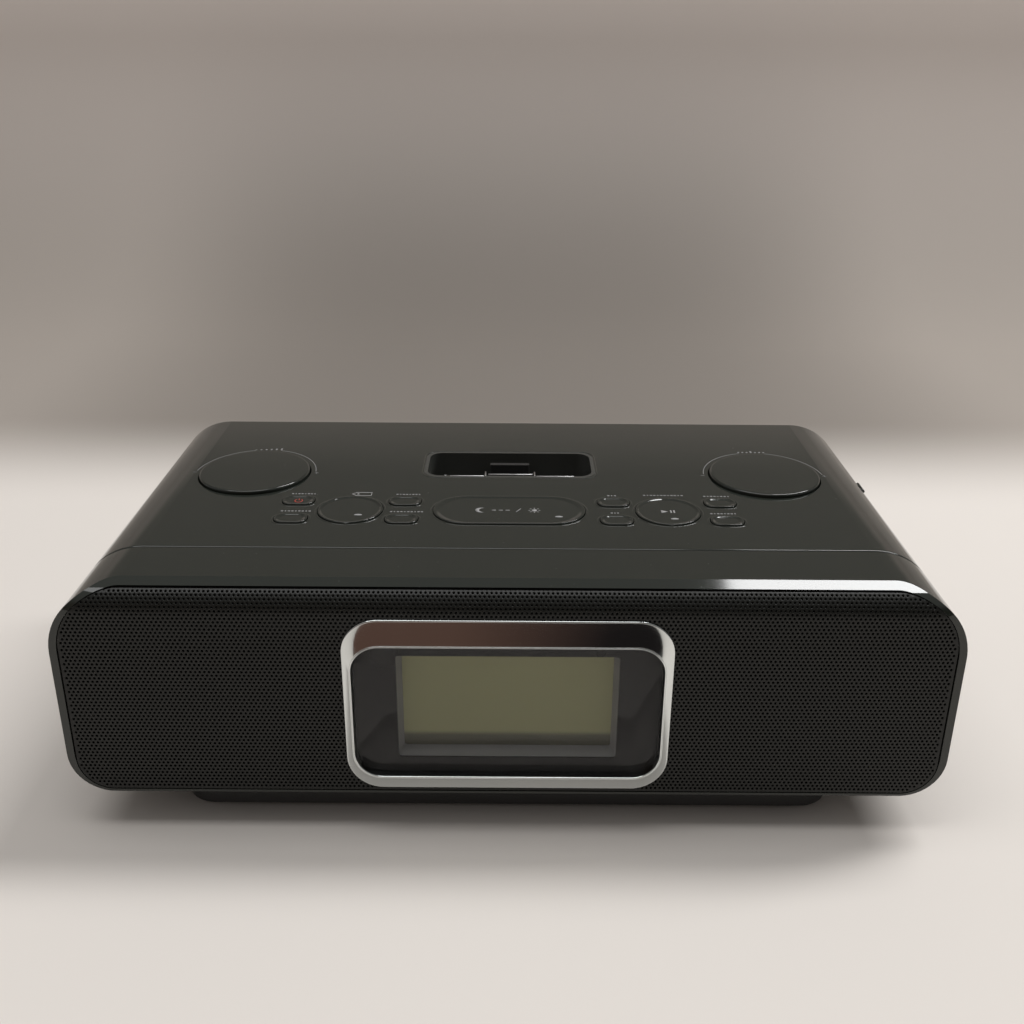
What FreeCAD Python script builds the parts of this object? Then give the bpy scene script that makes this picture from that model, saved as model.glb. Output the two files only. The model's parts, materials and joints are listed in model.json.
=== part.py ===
"""Table clock radio with a dock on top, as a parametric assembly of separate pieces.

Frame: X to the right, Y from the front to the rear, Z up. The origin is on the table,
under the middle of the whole object. Lengths are millimetres and angles are degrees.
"""
import FreeCAD, Part
import math
import os
import re
import Sketcher

os.makedirs("parts", exist_ok=True)
DOC = FreeCAD.newDocument("ClockRadio")
VEC = FreeCAD.Vector

SIZES = {
    # cabinet
    "cabinet_width": 305.0,
    "cabinet_height": 79.0,
    "cabinet_depth": 166.5,
    "base_height": 15.3,
    "top_corner": 24.0,
    "bottom_corner": 15.0,
    "wall": 2.5,
    "seam_depth": 34.0,
    "seam_gap": 0.5,
    "seam_round": 0.8,
    "frame_round": 0.4,
    "rear_round": 1.6,
    "split_height": 17.0,
    "lip_gap": 0.1,
    "lip_wall": 1.5,
    "lip_reach": 4.0,
    # front frame and grille
    "front_lean": 2.0,
    "brow_start": 69.5,
    "brow_radius": 9.0,
    "brow_sweep": 60.0,
    "band_rear": 12.2,
    "rim_side": 2.8,
    "rim_top": 1.5,
    "rim_low": 0.9,
    "rim_depth": 12.0,
    "grille_gap": 0.4,
    "grille_sheet": 0.8,
    "grille_turn": 6.0,
    "baffle_thick": 2.5,
    # display
    "bezel_width": 111.0,
    "bezel_tall": 65.9,
    "bezel_low": 2.7,
    "bezel_corner": 12.5,
    "bezel_edge": 0.8,
    "bezel_proud": 3.0,
    "bezel_neck": 1.6,
    "screen_width": 104.6,
    "screen_tall": 50.8,
    "screen_low": 8.8,
    "screen_corner": 9.5,
    "bezel_lip": 0.2,
    "lens_sunk": 1.8,
    "lens_thick": 2.0,
    "mask_thick": 0.6,
    "window_width": 75.1,
    "window_tall": 39.9,
    "window_low": 14.6,
    "glass_width": 72.0,
    "glass_tall": 36.8,
    "panel_margin": 4.0,
    "panel_thick": 2.2,
    "guide_thick": 3.0,
    "display_board_width": 112.0,
    "display_board_tall": 56.0,
    "sheet_corner": 1.0,
    "board_corner": 2.0,
    "fit_gap": 0.15,
    # speakers
    "speaker_x": 102.0,
    "speaker_v": 38.5,
    "speaker_radius": 35.0,
    "speaker_opening": 31.0,
    "basket_depth": 20.0,
    "magnet_radius": 19.0,
    "magnet_depth": 11.0,
    "basket_sheet": 1.2,
    "basket_window": 8.0,
    "basket_window_radius": 25.0,
    "cone_dust_radius": 11.0,
    "cone_tall": 11.0,
    "cone_sheet": 0.8,
    "surround": 5.0,
    # knobs
    "knob_x": 103.8,
    "knob_y": 102.3,
    "knob_radius": 22.1,
    "knob_gap": 0.55,
    "knob_proud": 1.45,
    "knob_skirt": 6.5,
    "cup_depth": 8.0,
    "cup_wall": 2.0,
    "shaft_radius": 3.0,
    "shaft_gap": 0.05,
    "bushing_radius": 4.5,
    "encoder_side": 13.0,
    "encoder_tall": 6.5,
    "encoder_floor": 2.0,
    "knob_wall": 2.0,
    "knob_hub": 2.5,
    "knob_round": 0.8,
    "shaft_roof": 1.6,
    "stud_angle": 52.2,
    "stud_y": 113.0,
    "stud_length": 8.0,
    "stud_width": 2.4,
    "stud_proud": 0.8,
    "stud_round": 0.6,
    # keys
    "key_column_near": 40.0,
    "key_column_far": 81.0,
    "key_row_front": 58.2,
    "key_row_rear": 74.6,
    "key_length": 12.2,
    "key_width": 8.0,
    "key_corner": 3.5,
    "key_gap": 0.3,
    "key_proud": 0.7,
    "key_flange": 1.2,
    "key_flange_thick": 1.2,
    "key_travel": 0.7,
    "key_rim": 0.6,
    "key_dish": 0.45,
    "key_edge": 0.35,
    "stem_radius": 1.6,
    "round_key_x": 60.0,
    "round_key_y": 66.4,
    "round_key_radius": 12.2,
    "snooze_y": 66.8,
    "snooze_length": 57.4,
    "snooze_width": 25.2,
    "board_drop": 18.0,
    "board_thick": 1.6,
    "switch_side": 6.0,
    "switch_tall": 4.3,
    "plunger_tall": 1.0,
    "plunger_gap": 0.1,
    "key_board_width": 250.0,
    "key_board_length": 84.0,
    "key_board_y": 86.0,
    # dock
    "dock_y": 114.0,
    "dock_width": 70.6,
    "dock_length": 28.6,
    "dock_corner": 7.0,
    "dock_depth": 12.0,
    "dock_wall": 1.6,
    "dock_flange": 4.0,
    "plug_width": 16.4,
    "plug_thick": 2.4,
    "plug_tall": 7.0,
    "plug_shift": 2.8,
    "bridge_width": 24.0,
    "bridge_length": 8.0,
    "bridge_tall": 4.0,
    "plug_corner": 0.8,
    "dock_board_width": 46.0,
    "dock_board_length": 22.0,
    # base
    "plinth_width": 236.0,
    "plinth_length": 146.0,
    "plinth_y": 82.0,
    "plinth_corner": 12.0,
    "foot_height": 3.3,
    "foot_radius": 8.0,
    "foot_x": 104.0,
    "foot_y": 60.0,
    "board_post_radius": 3.5,
    "case_post_radius": 4.5,
    "case_post_x": 133.0,
    "case_post_front": 52.0,
    "case_post_rear": 152.0,
    "screw_radius": 1.5,
    "screw_head_radius": 3.0,
    "screw_head_tall": 1.8,
    "screw_length": 9.0,
    "main_board_width": 150.0,
    "main_board_length": 92.0,
    "main_board_z": 30.0,
    "main_board_rear": 155.0,
    "side_board_reach": 30.0,
    "post_inset": 6.0,
    "can_x": 44.0,
    "can_width": 44.0,
    "can_length": 34.0,
    "can_tall": 9.0,
    "sink_x": 40.0,
    "sink_rear": 24.0,
    "sink_width": 40.0,
    "sink_base": 3.0,
    "sink_tall": 22.0,
    "fin_long": 10.0,
    "fin_thick": 1.6,
    "fin_pitch": 6.4,
    "capacitor_radius": 6.0,
    "capacitor_tall": 18.0,
    "rear_sunk": 1.5,
    "rear_thick": 2.5,
    "vent_x": 62.0,
    "vent_pitch": 6.0,
    "vent_width": 3.0,
    "vent_length": 26.0,
    "vent_count": 11,
    "jack_gap": 0.2,
    "power_jack_x": -96.0,
    "power_jack_bore": 3.0,
    "power_jack_pin": 1.0,
    "aux_jack_x": -74.0,
    "aux_jack_bore": 1.8,
    "aerial_jack_x": 84.0,
    "aerial_jack_bore": 4.0,
    "aerial_jack_pin": 1.2,
    "jack_length": 14.0,
    "jack_barrel_wall": 1.2,
    "aux_jack_depth": 14.0,
    "plain_jack_depth": 9.0,
    "pin_sunk": 1.0,
    # battery bay
    "bay_x": 0.0,
    "bay_width": 55.0,
    "bay_length": 26.0,
    "bay_depth": 14.0,
    "door_margin": 4.0,
    "door_thick": 1.9,
    "tongue": 1.6,
    "slide_gap": 0.2,
    "cell_radius": 5.2,
    "cell_length": 44.5,
    "contact_thick": 0.5,
    "grip_width": 14.0,
    "grip_slot": 1.0,
    "grip_deep": 0.5,
}


def make_sheet():
    """Put every driving size in the spreadsheet, one named cell each."""
    sheet = DOC.addObject("Spreadsheet::Sheet", "Sizes")
    for row, (name, number) in enumerate(SIZES.items(), 1):
        sheet.set(f"A{row}", name)
        sheet.set(f"B{row}", str(number))
        sheet.setAlias(f"B{row}", name)
    DOC.recompute()
    return sheet


SHEET = make_sheet()

# ---------------------------------------------------------------- shared expressions
TOP = "(base_height + cabinet_height)"
UNDER_TOP = "(base_height + cabinet_height - wall)"
MID_HEIGHT = "(base_height + cabinet_height / 2)"
SPLIT = "(base_height + split_height)"
BROW_V = "(brow_start + brow_radius * sin(brow_sweep))"
BROW_W = "(brow_radius * (1 - cos(brow_sweep)))"
GRILLE_LOW = "(rim_low + grille_gap)"
GRILLE_HALF = "(cabinet_width / 2 - rim_side - grille_gap)"
FRONT_MOST = "(screen_low * sin(front_lean) - bezel_proud * cos(front_lean))"
MIDDLE = f"((cabinet_depth + {FRONT_MOST}) / 2)"
BOARD_TOP = f"({TOP} - board_drop)"
PLUG_Y = "(dock_y + plug_shift)"
SCREEN_V = "(screen_low + screen_tall / 2)"
WINDOW_V = "(window_low + window_tall / 2)"
PLINTH_LOW = "foot_height"


def link(text):
    """Turn plain size names into references to the spreadsheet."""
    def cell(match):
        word = match.group(0)
        return f"Sizes.{word}" if word in SIZES else word
    return re.sub(r"[a-z_]+", cell, str(text))


def number(text):
    """The present value of an expression."""
    value = SHEET.evalExpression(link(text))
    return float(getattr(value, "Value", value))


# ---------------------------------------------------------------- bodies and sketches
def new_body(name, x="0", y="0", z="0", axis=None, angle=None):
    """A body at x, y behind the front and z over the table, turned about an axis."""
    body = DOC.addObject("PartDesign::Body", name)
    body.Label = name
    if axis is not None:
        turn = FreeCAD.Rotation(axis, number(angle))
        body.Placement = FreeCAD.Placement(VEC(0, 0, 0), turn)
        body.setExpression("Placement.Rotation.Angle", link(angle))
    body.setExpression("Placement.Base.x", link(x))
    body.setExpression("Placement.Base.y", link(f"{y} - {MIDDLE}"))
    body.setExpression("Placement.Base.z", link(z))
    return body


def leaning_body(name, x="0", depth="0", v="0"):
    """A body in the plane of the leaning front: depth behind it, v up along it."""
    y = f"({depth}) * cos(front_lean) + ({v}) * sin(front_lean)"
    z = f"base_height + ({v}) * cos(front_lean) - ({depth}) * sin(front_lean)"
    return new_body(name, x, y, z, VEC(-1, 0, 0), "front_lean")


def new_sketch(body, role="XY_Plane", height="0", lean=False):
    """A sketch on one of the body's own planes, height along the plane's normal."""
    sketch = body.newObject("Sketcher::SketchObject", "Sketch")
    planes = {feature.Role: feature for feature in body.Origin.OriginFeatures}
    sketch.AttachmentSupport = [(planes[role], "")]
    sketch.MapMode = "FlatFace"
    if lean:
        turn = FreeCAD.Rotation(VEC(1, 0, 0), -number("front_lean"))
        sketch.AttachmentOffset = FreeCAD.Placement(VEC(0, 0, 0), turn)
    sketch.setExpression("AttachmentOffset.Base.z", link(height))
    return sketch


def dimension(sketch, constraint, text):
    """Add one constraint and bind its value to an expression."""
    index = sketch.addConstraint(constraint)
    sketch.setExpression(f"Constraints[{index}]", link(text))


def pin_point(sketch, edge, end, x, y):
    """Fix an end of an edge at x, y from the sketch's origin."""
    dimension(sketch, Sketcher.Constraint("DistanceX", -1, 1, edge, end, number(x)), x)
    dimension(sketch, Sketcher.Constraint("DistanceY", -1, 1, edge, end, number(y)), y)


def add_circle(sketch, radius, x="0", y="0"):
    """A circle about x, y."""
    centre = VEC(number(x), number(y))
    edge = sketch.addGeometry(Part.Circle(centre, VEC(0, 0, 1), number(radius)))
    dimension(sketch, Sketcher.Constraint("Radius", edge, number(radius)), radius)
    pin_point(sketch, edge, 3, x, y)


def add_polygon(sketch, points):
    """A closed outline of straight edges through points given as expressions."""
    corners = [VEC(number(x), number(y)) for x, y in points]
    first = None
    for index, (x, y) in enumerate(points):
        following = corners[(index + 1) % len(corners)]
        edge = sketch.addGeometry(Part.LineSegment(corners[index], following))
        first = edge if first is None else first
        pin_point(sketch, edge, 1, x, y)
    last = first + len(points) - 1
    for edge in range(first, last + 1):
        after = first if edge == last else edge + 1
        sketch.addConstraint(Sketcher.Constraint("Coincident", edge, 2, after, 1))


def add_rectangle(sketch, width, tall, x="0", y="0", high=None, low=None):
    """A rectangle about x, y with corners of radius high at its top and low below."""
    low = high if low is None else low
    half_w, half_t = number(width) / 2, number(tall) / 2
    mid = VEC(number(x), number(y))
    if high is None:
        w, t, cx, cy = f"({width}) / 2", f"({tall}) / 2", f"({x})", f"({y})"
        corners = ((-1, -1), (1, -1), (1, 1), (-1, 1))
        add_polygon(sketch, [(f"{cx} + {i} * {w}", f"{cy} + {j} * {t}") for i, j in corners])
        return
    r_low, r_high = number(low), number(high)
    # corner centres, anticlockwise from the lower right, with each arc's first angle
    arcs = []
    for i, j, radius, begin in ((1, -1, r_low, 270), (1, 1, r_high, 0),
                                (-1, 1, r_high, 90), (-1, -1, r_low, 180)):
        centre = mid + VEC(i * (half_w - radius), j * (half_t - radius))
        circle = Part.Circle(centre, VEC(0, 0, 1), radius)
        begin = math.radians(begin)
        arcs.append(sketch.addGeometry(Part.ArcOfCircle(circle, begin, begin + math.pi / 2)))
    sides = []
    for index, arc in enumerate(arcs):
        after = arcs[(index + 1) % 4]
        ends = (sketch.getPoint(arc, 2), sketch.getPoint(after, 1))
        side = sketch.addGeometry(Part.LineSegment(*ends))
        sketch.addConstraint(Sketcher.Constraint("Tangent", arc, 2, side, 1))
        sketch.addConstraint(Sketcher.Constraint("Tangent", side, 2, after, 1))
        sides.append(side)
    right, top, left, bottom = sides
    for side in (right, left):
        sketch.addConstraint(Sketcher.Constraint("Vertical", side))
    for side in (top, bottom):
        sketch.addConstraint(Sketcher.Constraint("Horizontal", side))
    for first, second, text in ((arcs[0], arcs[3], low), (arcs[1], arcs[2], high)):
        dimension(sketch, Sketcher.Constraint("Radius", first, number(text)), text)
        sketch.addConstraint(Sketcher.Constraint("Equal", first, second))
    for kind, edge, text in (("DistanceX", right, f"({x}) + ({width}) / 2"),
                             ("DistanceX", left, f"({x}) - ({width}) / 2"),
                             ("DistanceY", top, f"({y}) + ({tall}) / 2"),
                             ("DistanceY", bottom, f"({y}) - ({tall}) / 2")):
        dimension(sketch, Sketcher.Constraint(kind, -1, 1, edge, 1, number(text)), text)


def add_obround(sketch, length, width, x="0", y="0"):
    """A bar along x with half-round ends, about x, y."""
    radius = number(width) / 2
    reach = number(length) / 2 - radius
    mid = VEC(number(x), number(y))
    ends = []
    for side, begin in ((1, -90), (-1, 90)):
        circle = Part.Circle(mid + VEC(side * reach, 0), VEC(0, 0, 1), radius)
        begin = math.radians(begin)
        ends.append(sketch.addGeometry(Part.ArcOfCircle(circle, begin, begin + math.pi)))
    for arc, after in (ends, ends[::-1]):
        points = (sketch.getPoint(arc, 2), sketch.getPoint(after, 1))
        side = sketch.addGeometry(Part.LineSegment(*points))
        sketch.addConstraint(Sketcher.Constraint("Tangent", arc, 2, side, 1))
        sketch.addConstraint(Sketcher.Constraint("Tangent", side, 2, after, 1))
    dimension(sketch, Sketcher.Constraint("Radius", ends[0], radius), f"({width}) / 2")
    for arc, sign in zip(ends, "+-"):
        pin_point(sketch, arc, 3, f"({x}) {sign} (({length}) - ({width})) / 2", y)


# ---------------------------------------------------------------- features
def pad(body, sketch, length, back=False, both=False):
    """Pad a sketch along its normal, or against it with back."""
    feature = body.newObject("PartDesign::Pad", "Pad")
    feature.Profile = sketch
    feature.setExpression("Length", link(length))
    feature.Reversed = back
    feature.Midplane = both
    DOC.recompute()
    return feature


def pocket(body, sketch, length=None, along=False, both=False):
    """Cut a sketch against its normal, or along it; without a length, through all."""
    before = body.Shape.Volume
    feature = body.newObject("PartDesign::Pocket", "Pocket")
    feature.Profile = sketch
    feature.Reversed = along
    feature.Midplane = both
    if length is None:
        feature.Type = 1
    else:
        feature.setExpression("Length", link(length))
    DOC.recompute()
    if body.Shape.Volume > before - 1e-6:
        raise ValueError(f"{body.Label}: {feature.Name} cuts nothing")
    return feature


def revolve(body, sketch, axis="V_Axis"):
    """Turn a sketch a full turn about its own vertical or horizontal axis."""
    feature = body.newObject("PartDesign::Revolution", "Revolution")
    feature.Profile = sketch
    feature.ReferenceAxis = (sketch, [axis])
    feature.Angle = 360
    DOC.recompute()
    return feature


def loft(body, first, second, cut=False):
    """Join two sketches by a ruled loft, added or cut away."""
    kind = "SubtractiveLoft" if cut else "AdditiveLoft"
    feature = body.newObject(f"PartDesign::{kind}", kind)
    feature.Profile = first
    feature.Sections = [second]
    feature.Ruled = True
    DOC.recompute()
    return feature


def dress(body, kind, size, chosen):
    """Fillet or chamfer every edge of the body that chosen accepts."""
    base = body.Tip
    names = [f"Edge{i}" for i, edge in enumerate(base.Shape.Edges, 1) if chosen(edge)]
    feature = body.newObject(f"PartDesign::{kind}", kind)
    feature.Base = (base, names)
    feature.setExpression("Radius" if kind == "Fillet" else "Size", link(size))
    DOC.recompute()
    return feature


def level(edge, axis, value):
    """Whether an edge lies wholly at one value of an axis in its body's frame."""
    box = edge.BoundBox
    low, high = {"x": (box.XMin, box.XMax), "y": (box.YMin, box.YMax),
                 "z": (box.ZMin, box.ZMax)}[axis]
    return abs(low - value) < 1e-3 and abs(high - value) < 1e-3


def add_cabinet_outline(sketch, inset):
    """The cabinet's section seen from the front, moved inwards by inset."""
    add_rectangle(sketch, f"cabinet_width - 2 * ({inset})", f"cabinet_height - 2 * ({inset})",
                  "0", MID_HEIGHT, f"top_corner - ({inset})", f"bottom_corner - ({inset})")


def add_opening_outline(sketch, inset, foot="0"):
    """The front opening inside the frame's rim, in heights over foot."""
    low = f"{foot} + rim_low + ({inset})"
    high = f"{foot} + cabinet_height - rim_top - ({inset})"
    add_rectangle(sketch, f"cabinet_width - 2 * (rim_side + ({inset}))", f"({high}) - ({low})",
                  "0", f"(({high}) + ({low})) / 2",
                  f"top_corner - rim_side - ({inset})", f"bottom_corner - rim_side - ({inset})")


# ---------------------------------------------------------------- front
def add_brow_cut(sketch):
    """Everything before the leaning face, the round brow and the sloping band."""
    lean, tilt = "sin(front_lean)", "cos(front_lean)"
    clear = 20
    face = (f"brow_start * {lean}", f"base_height + brow_start * {tilt}")
    edge = (f"{BROW_V} * {lean} + {BROW_W} * {tilt}",
            f"base_height + {BROW_V} * {tilt} - {BROW_W} * {lean}")
    below = (f"-{clear} * {lean}", f"base_height - {clear} * {tilt}")
    over = ("band_rear", f"{TOP} + {clear}")
    path = [(f"-{clear}", below[1]), below, face, edge, ("band_rear", TOP), over,
            (f"-{clear}", over[1])]
    spots = [VEC(number(x), number(y)) for x, y in path]
    radius, lean_rad = number("brow_radius"), math.radians(number("front_lean"))
    sweep = math.radians(number("brow_sweep"))
    centre = spots[2] + VEC(radius * math.cos(lean_rad), -radius * math.sin(lean_rad))
    circle = Part.Circle(centre, VEC(0, 0, 1), radius)
    begin = math.pi - lean_rad - sweep
    edges = []
    for index, spot in enumerate(spots):
        following = spots[(index + 1) % len(spots)]
        if index == 2:
            shape = Part.ArcOfCircle(circle, begin, begin + sweep)
        else:
            shape = Part.LineSegment(spot, following)
        edges.append(sketch.addGeometry(shape))
    for index, edge_id in enumerate(edges):
        after = (index + 1) % len(edges)
        end = 1 if index == 2 else 2
        start = 2 if after == 2 else 1
        sketch.addConstraint(
            Sketcher.Constraint("Coincident", edge_id, end, edges[after], start))
        own_start = 2 if index == 2 else 1
        pin_point(sketch, edge_id, own_start, *path[index])
    dimension(sketch, Sketcher.Constraint("Radius", edges[2], radius), "brow_radius")


def make_front_frame():
    """Rim round the front with the strip of top behind it, cut back to a leaning face."""
    body = new_body("front_frame")
    block = new_sketch(body, "XZ_Plane")
    add_cabinet_outline(block, "0")
    pad(body, block, "seam_depth - seam_gap / 2", back=True)
    rear = number("seam_depth - seam_gap / 2")
    dress(body, "Fillet", "frame_round", lambda edge: level(edge, "y", rear))
    face = new_sketch(body, "YZ_Plane")
    add_brow_cut(face)
    pocket(body, face, "2 * cabinet_width", both=True)
    inside = new_sketch(body, "XZ_Plane")
    add_cabinet_outline(inside, "wall + lip_gap")
    pocket(body, inside, along=False)
    opening = new_sketch(body, "XZ_Plane")
    add_opening_outline(opening, "0", "base_height")
    pocket(body, opening, "rim_depth")
    lip = new_sketch(body, "XZ_Plane", "lip_reach - seam_depth")
    add_cabinet_outline(lip, "wall + lip_gap")
    add_cabinet_outline(lip, "wall + lip_gap + lip_wall")
    pad(body, lip, "2 * lip_reach", back=True)
    return body


def make_grille():
    """Pressed sheet with a round brow, its edges turned back all round."""
    body = leaning_body("grille")
    block = new_sketch(body, "YZ_Plane")
    add_grille_side(block)
    pad(body, block, "cabinet_width", both=True)
    trim = new_sketch(body, "XZ_Plane", "1")
    add_rectangle(trim, "2 * cabinet_width", "2 * cabinet_height", "0", "cabinet_height / 2")
    high = f"({BROW_V} + 0.001)"
    add_rectangle(trim, f"2 * {GRILLE_HALF}", f"{high} - {GRILLE_LOW}", "0",
                  f"({high} + {GRILLE_LOW}) / 2",
                  "top_corner - rim_side - grille_gap", "bottom_corner - rim_side - grille_gap")
    pocket(body, trim, "grille_turn + 2")
    rear = number("grille_turn")
    base = body.Tip
    faces = [f"Face{i}" for i, face in enumerate(base.Shape.Faces, 1)
             if level(face, "y", rear)]
    shell = body.newObject("PartDesign::Thickness", "Thickness")
    shell.Base = (base, faces)
    shell.setExpression("Value", link("grille_sheet"))
    shell.Reversed = True
    shell.Join = 1
    DOC.recompute()
    opening = new_sketch(body, "XZ_Plane", "1")
    add_bezel_outline(opening, "bezel_neck - fit_gap")
    pocket(body, opening, "grille_turn")
    return body


def add_grille_side(sketch):
    """Side view of the grille's block: flat face, brow arc, flat back."""
    radius, sweep = number("brow_radius"), math.radians(number("brow_sweep"))
    path = [("0", GRILLE_LOW), ("0", "brow_start"), (BROW_W, BROW_V),
            ("grille_turn", BROW_V), ("grille_turn", GRILLE_LOW)]
    spots = [VEC(number(x), number(y)) for x, y in path]
    circle = Part.Circle(spots[1] + VEC(radius, 0), VEC(0, 0, 1), radius)
    edges = []
    for index, spot in enumerate(spots):
        if index == 1:
            shape = Part.ArcOfCircle(circle, math.pi - sweep, math.pi)
        else:
            shape = Part.LineSegment(spot, spots[(index + 1) % len(spots)])
        edges.append(sketch.addGeometry(shape))
    for index, edge in enumerate(edges):
        after = (index + 1) % len(edges)
        end = 1 if index == 1 else 2
        start = 2 if after == 1 else 1
        sketch.addConstraint(Sketcher.Constraint("Coincident", edge, end, edges[after], start))
        pin_point(sketch, edge, 2 if index == 1 else 1, *path[index])
    dimension(sketch, Sketcher.Constraint("Radius", edges[1], radius), "brow_radius")


def add_bezel_outline(sketch, inset):
    """Outline of the display's ring, moved inwards by inset."""
    add_rectangle(sketch, f"bezel_width - 2 * ({inset})", f"bezel_tall - 2 * ({inset})", "0",
                  "bezel_low + bezel_tall / 2", f"bezel_corner - ({inset})")


def add_screen_outline(sketch, inset):
    """Outline of the opening inside the display's ring, moved inwards by inset."""
    add_rectangle(sketch, f"screen_width - 2 * ({inset})", f"screen_tall - 2 * ({inset})", "0",
                  SCREEN_V, f"screen_corner - ({inset})")


def make_display():
    """Ring, lens, mask, screen frame, screen, light guide and board, front to rear."""
    bezel = leaning_body("display_bezel")
    rim = new_sketch(bezel, "XZ_Plane", "0")
    add_bezel_outline(rim, "0")
    pad(bezel, rim, "bezel_edge")
    wide = new_sketch(bezel, "XZ_Plane", "bezel_edge")
    add_bezel_outline(wide, "0")
    narrow = new_sketch(bezel, "XZ_Plane", "bezel_proud")
    add_screen_outline(narrow, "-0.5")
    loft(bezel, wide, narrow)
    neck = new_sketch(bezel, "XZ_Plane", "0")
    add_bezel_outline(neck, "bezel_neck")
    pad(bezel, neck, "grille_turn", back=True)
    hole = new_sketch(bezel, "XZ_Plane", "bezel_proud + 1")
    add_screen_outline(hole, "0")
    pocket(bezel, hole, "bezel_proud + grille_turn + 2")
    crests = [-number(size) for size in ("bezel_edge", "bezel_proud")]
    dress(bezel, "Fillet", "bezel_lip",
          lambda edge: any(level(edge, "y", crest) for crest in crests))

    lens_front = "(lens_sunk - bezel_proud)"
    plates = (
        ("display_lens", lens_front, "lens_thick", False),
        ("lens_mask", f"{lens_front} + lens_thick", "mask_thick", True),
    )
    for name, depth, thick, window in plates:
        plate = leaning_body(name, depth=depth)
        outline = new_sketch(plate, "XZ_Plane")
        add_screen_outline(outline, "fit_gap")
        if window:
            add_rectangle(outline, "window_width", "window_tall", "0", WINDOW_V,
                          "sheet_corner")
        pad(plate, outline, thick, back=True)

    holder_front = f"({lens_front} + lens_thick + mask_thick)"
    holder = leaning_body("lcd_frame", depth=holder_front)
    outline = new_sketch(holder, "XZ_Plane")
    add_screen_outline(outline, "fit_gap")
    pad(holder, outline, f"grille_turn - {holder_front}", back=True)
    front = new_sketch(holder, "XZ_Plane", "0")
    add_rectangle(front, "window_width", "window_tall", "0", WINDOW_V, "sheet_corner")
    rear = new_sketch(holder, "XZ_Plane", f"{holder_front} - grille_turn")
    add_rectangle(rear, "glass_width", "glass_tall", "0", WINDOW_V, "sheet_corner")
    loft(holder, front, rear, cut=True)

    sheets = (
        ("lcd_panel", "grille_turn", "panel_thick"),
        ("light_guide", "grille_turn + panel_thick", "guide_thick"),
    )
    for name, depth, thick in sheets:
        sheet = leaning_body(name, depth=depth)
        outline = new_sketch(sheet, "XZ_Plane")
        add_rectangle(outline, "glass_width + 2 * panel_margin", "glass_tall + 2 * panel_margin",
                      "0", WINDOW_V)
        pad(sheet, outline, thick, back=True)

    board = leaning_body("display_board", depth="grille_turn + panel_thick + guide_thick")
    outline = new_sketch(board, "XZ_Plane")
    add_rectangle(outline, "display_board_width", "display_board_tall", "0", WINDOW_V,
                  "board_corner")
    pad(board, outline, "board_thick", back=True)


def make_speaker_baffle():
    """Plate behind the grille that carries the speakers and the display."""
    body = leaning_body("speaker_baffle", depth="grille_turn")
    plate = new_sketch(body, "XZ_Plane")
    add_opening_outline(plate, "grille_gap")
    for side in "-", "":
        add_circle(plate, "speaker_opening", f"{side}speaker_x", "speaker_v")
    add_rectangle(plate, "glass_width + 2 * (panel_margin + fit_gap)",
                  "glass_tall + 2 * (panel_margin + fit_gap)", "0", WINDOW_V)
    pad(body, plate, "baffle_thick", back=True)
    return body


def make_speaker(side, sign):
    """Basket, cone and magnet of one speaker, turned about its own axis."""
    where = dict(x=f"{sign}speaker_x", depth="grille_turn + baffle_thick", v="speaker_v")
    basket = leaning_body(f"{side}_speaker_basket", **where)
    section = new_sketch(basket, "XY_Plane")
    neck = "(magnet_radius - 3)"
    hub = "(magnet_radius / 3)"
    add_polygon(section, [
        ("speaker_opening", "0"), ("speaker_radius", "0"), ("speaker_radius", "basket_sheet"),
        ("speaker_opening + 1", "basket_sheet"), (neck, "basket_depth"),
        (hub, "basket_depth"), (hub, "basket_depth - basket_sheet"),
        (f"{neck} - 0.8", "basket_depth - basket_sheet"), ("speaker_opening", "1"),
    ])
    revolve(basket, section)
    window = new_sketch(basket, "XZ_Plane", "-basket_sheet")
    add_rectangle(window, "basket_window", "basket_window", "0", "basket_window_radius",
                  "sheet_corner")
    cut = pocket(basket, window, "basket_depth - 2 * basket_sheet")
    ring = basket.newObject("PartDesign::PolarPattern", "PolarPattern")
    ring.Originals = [cut]
    ring.Axis = (window, ["N_Axis"])
    ring.Angle = 360
    ring.Occurrences = 6
    basket.Tip = ring
    cone = leaning_body(f"{side}_speaker_cone", **where)
    section = new_sketch(cone, "XY_Plane")
    edge = "(speaker_opening - fit_gap)"
    add_polygon(section, [
        (edge, "0"), (edge, "cone_sheet"), (f"{edge} - surround", "cone_sheet + 0.1"),
        ("cone_dust_radius", "cone_tall"), ("0", "cone_tall - 3.5"),
        ("0", "cone_tall - 3.5 - cone_sheet"), ("cone_dust_radius", "cone_tall - 1.1"),
        (f"{edge} - surround - 0.5", "0"),
    ])
    revolve(cone, section)
    magnet = leaning_body(f"{side}_speaker_magnet", where["x"],
                          f"{where['depth']} + basket_depth", where["v"])
    disc = new_sketch(magnet, "XZ_Plane")
    add_circle(disc, "magnet_radius")
    pad(magnet, disc, "magnet_depth", back=True)


# ---------------------------------------------------------------- cabinet
SMALL_KEYS = {
    "power_key": ("-key_column_far", "key_row_rear"),
    "wake_key": ("-key_column_far", "key_row_front"),
    "preset_key": ("-key_column_near", "key_row_rear"),
    "program_key": ("-key_column_near", "key_row_front"),
    "set_key": ("key_column_near", "key_row_rear"),
    "tone_key": ("key_column_near", "key_row_front"),
    "alarm_one_key": ("key_column_far", "key_row_rear"),
    "alarm_two_key": ("key_column_far", "key_row_front"),
}
ROUND_KEYS = {
    "tag_key": ("-round_key_x", "round_key_y"),
    "play_key": ("round_key_x", "round_key_y"),
}
KNOBS = {"volume": "-knob_x", "tuning": "knob_x"}
SIDES = (("left", "-"), ("right", ""))
BOARD_POSTS = [(f"{sign}{x}", y) for _, sign in SIDES for x, y in (
    ("20", "48.2"), ("93", "50"), ("52", "90"), ("118", "66"))]
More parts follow.
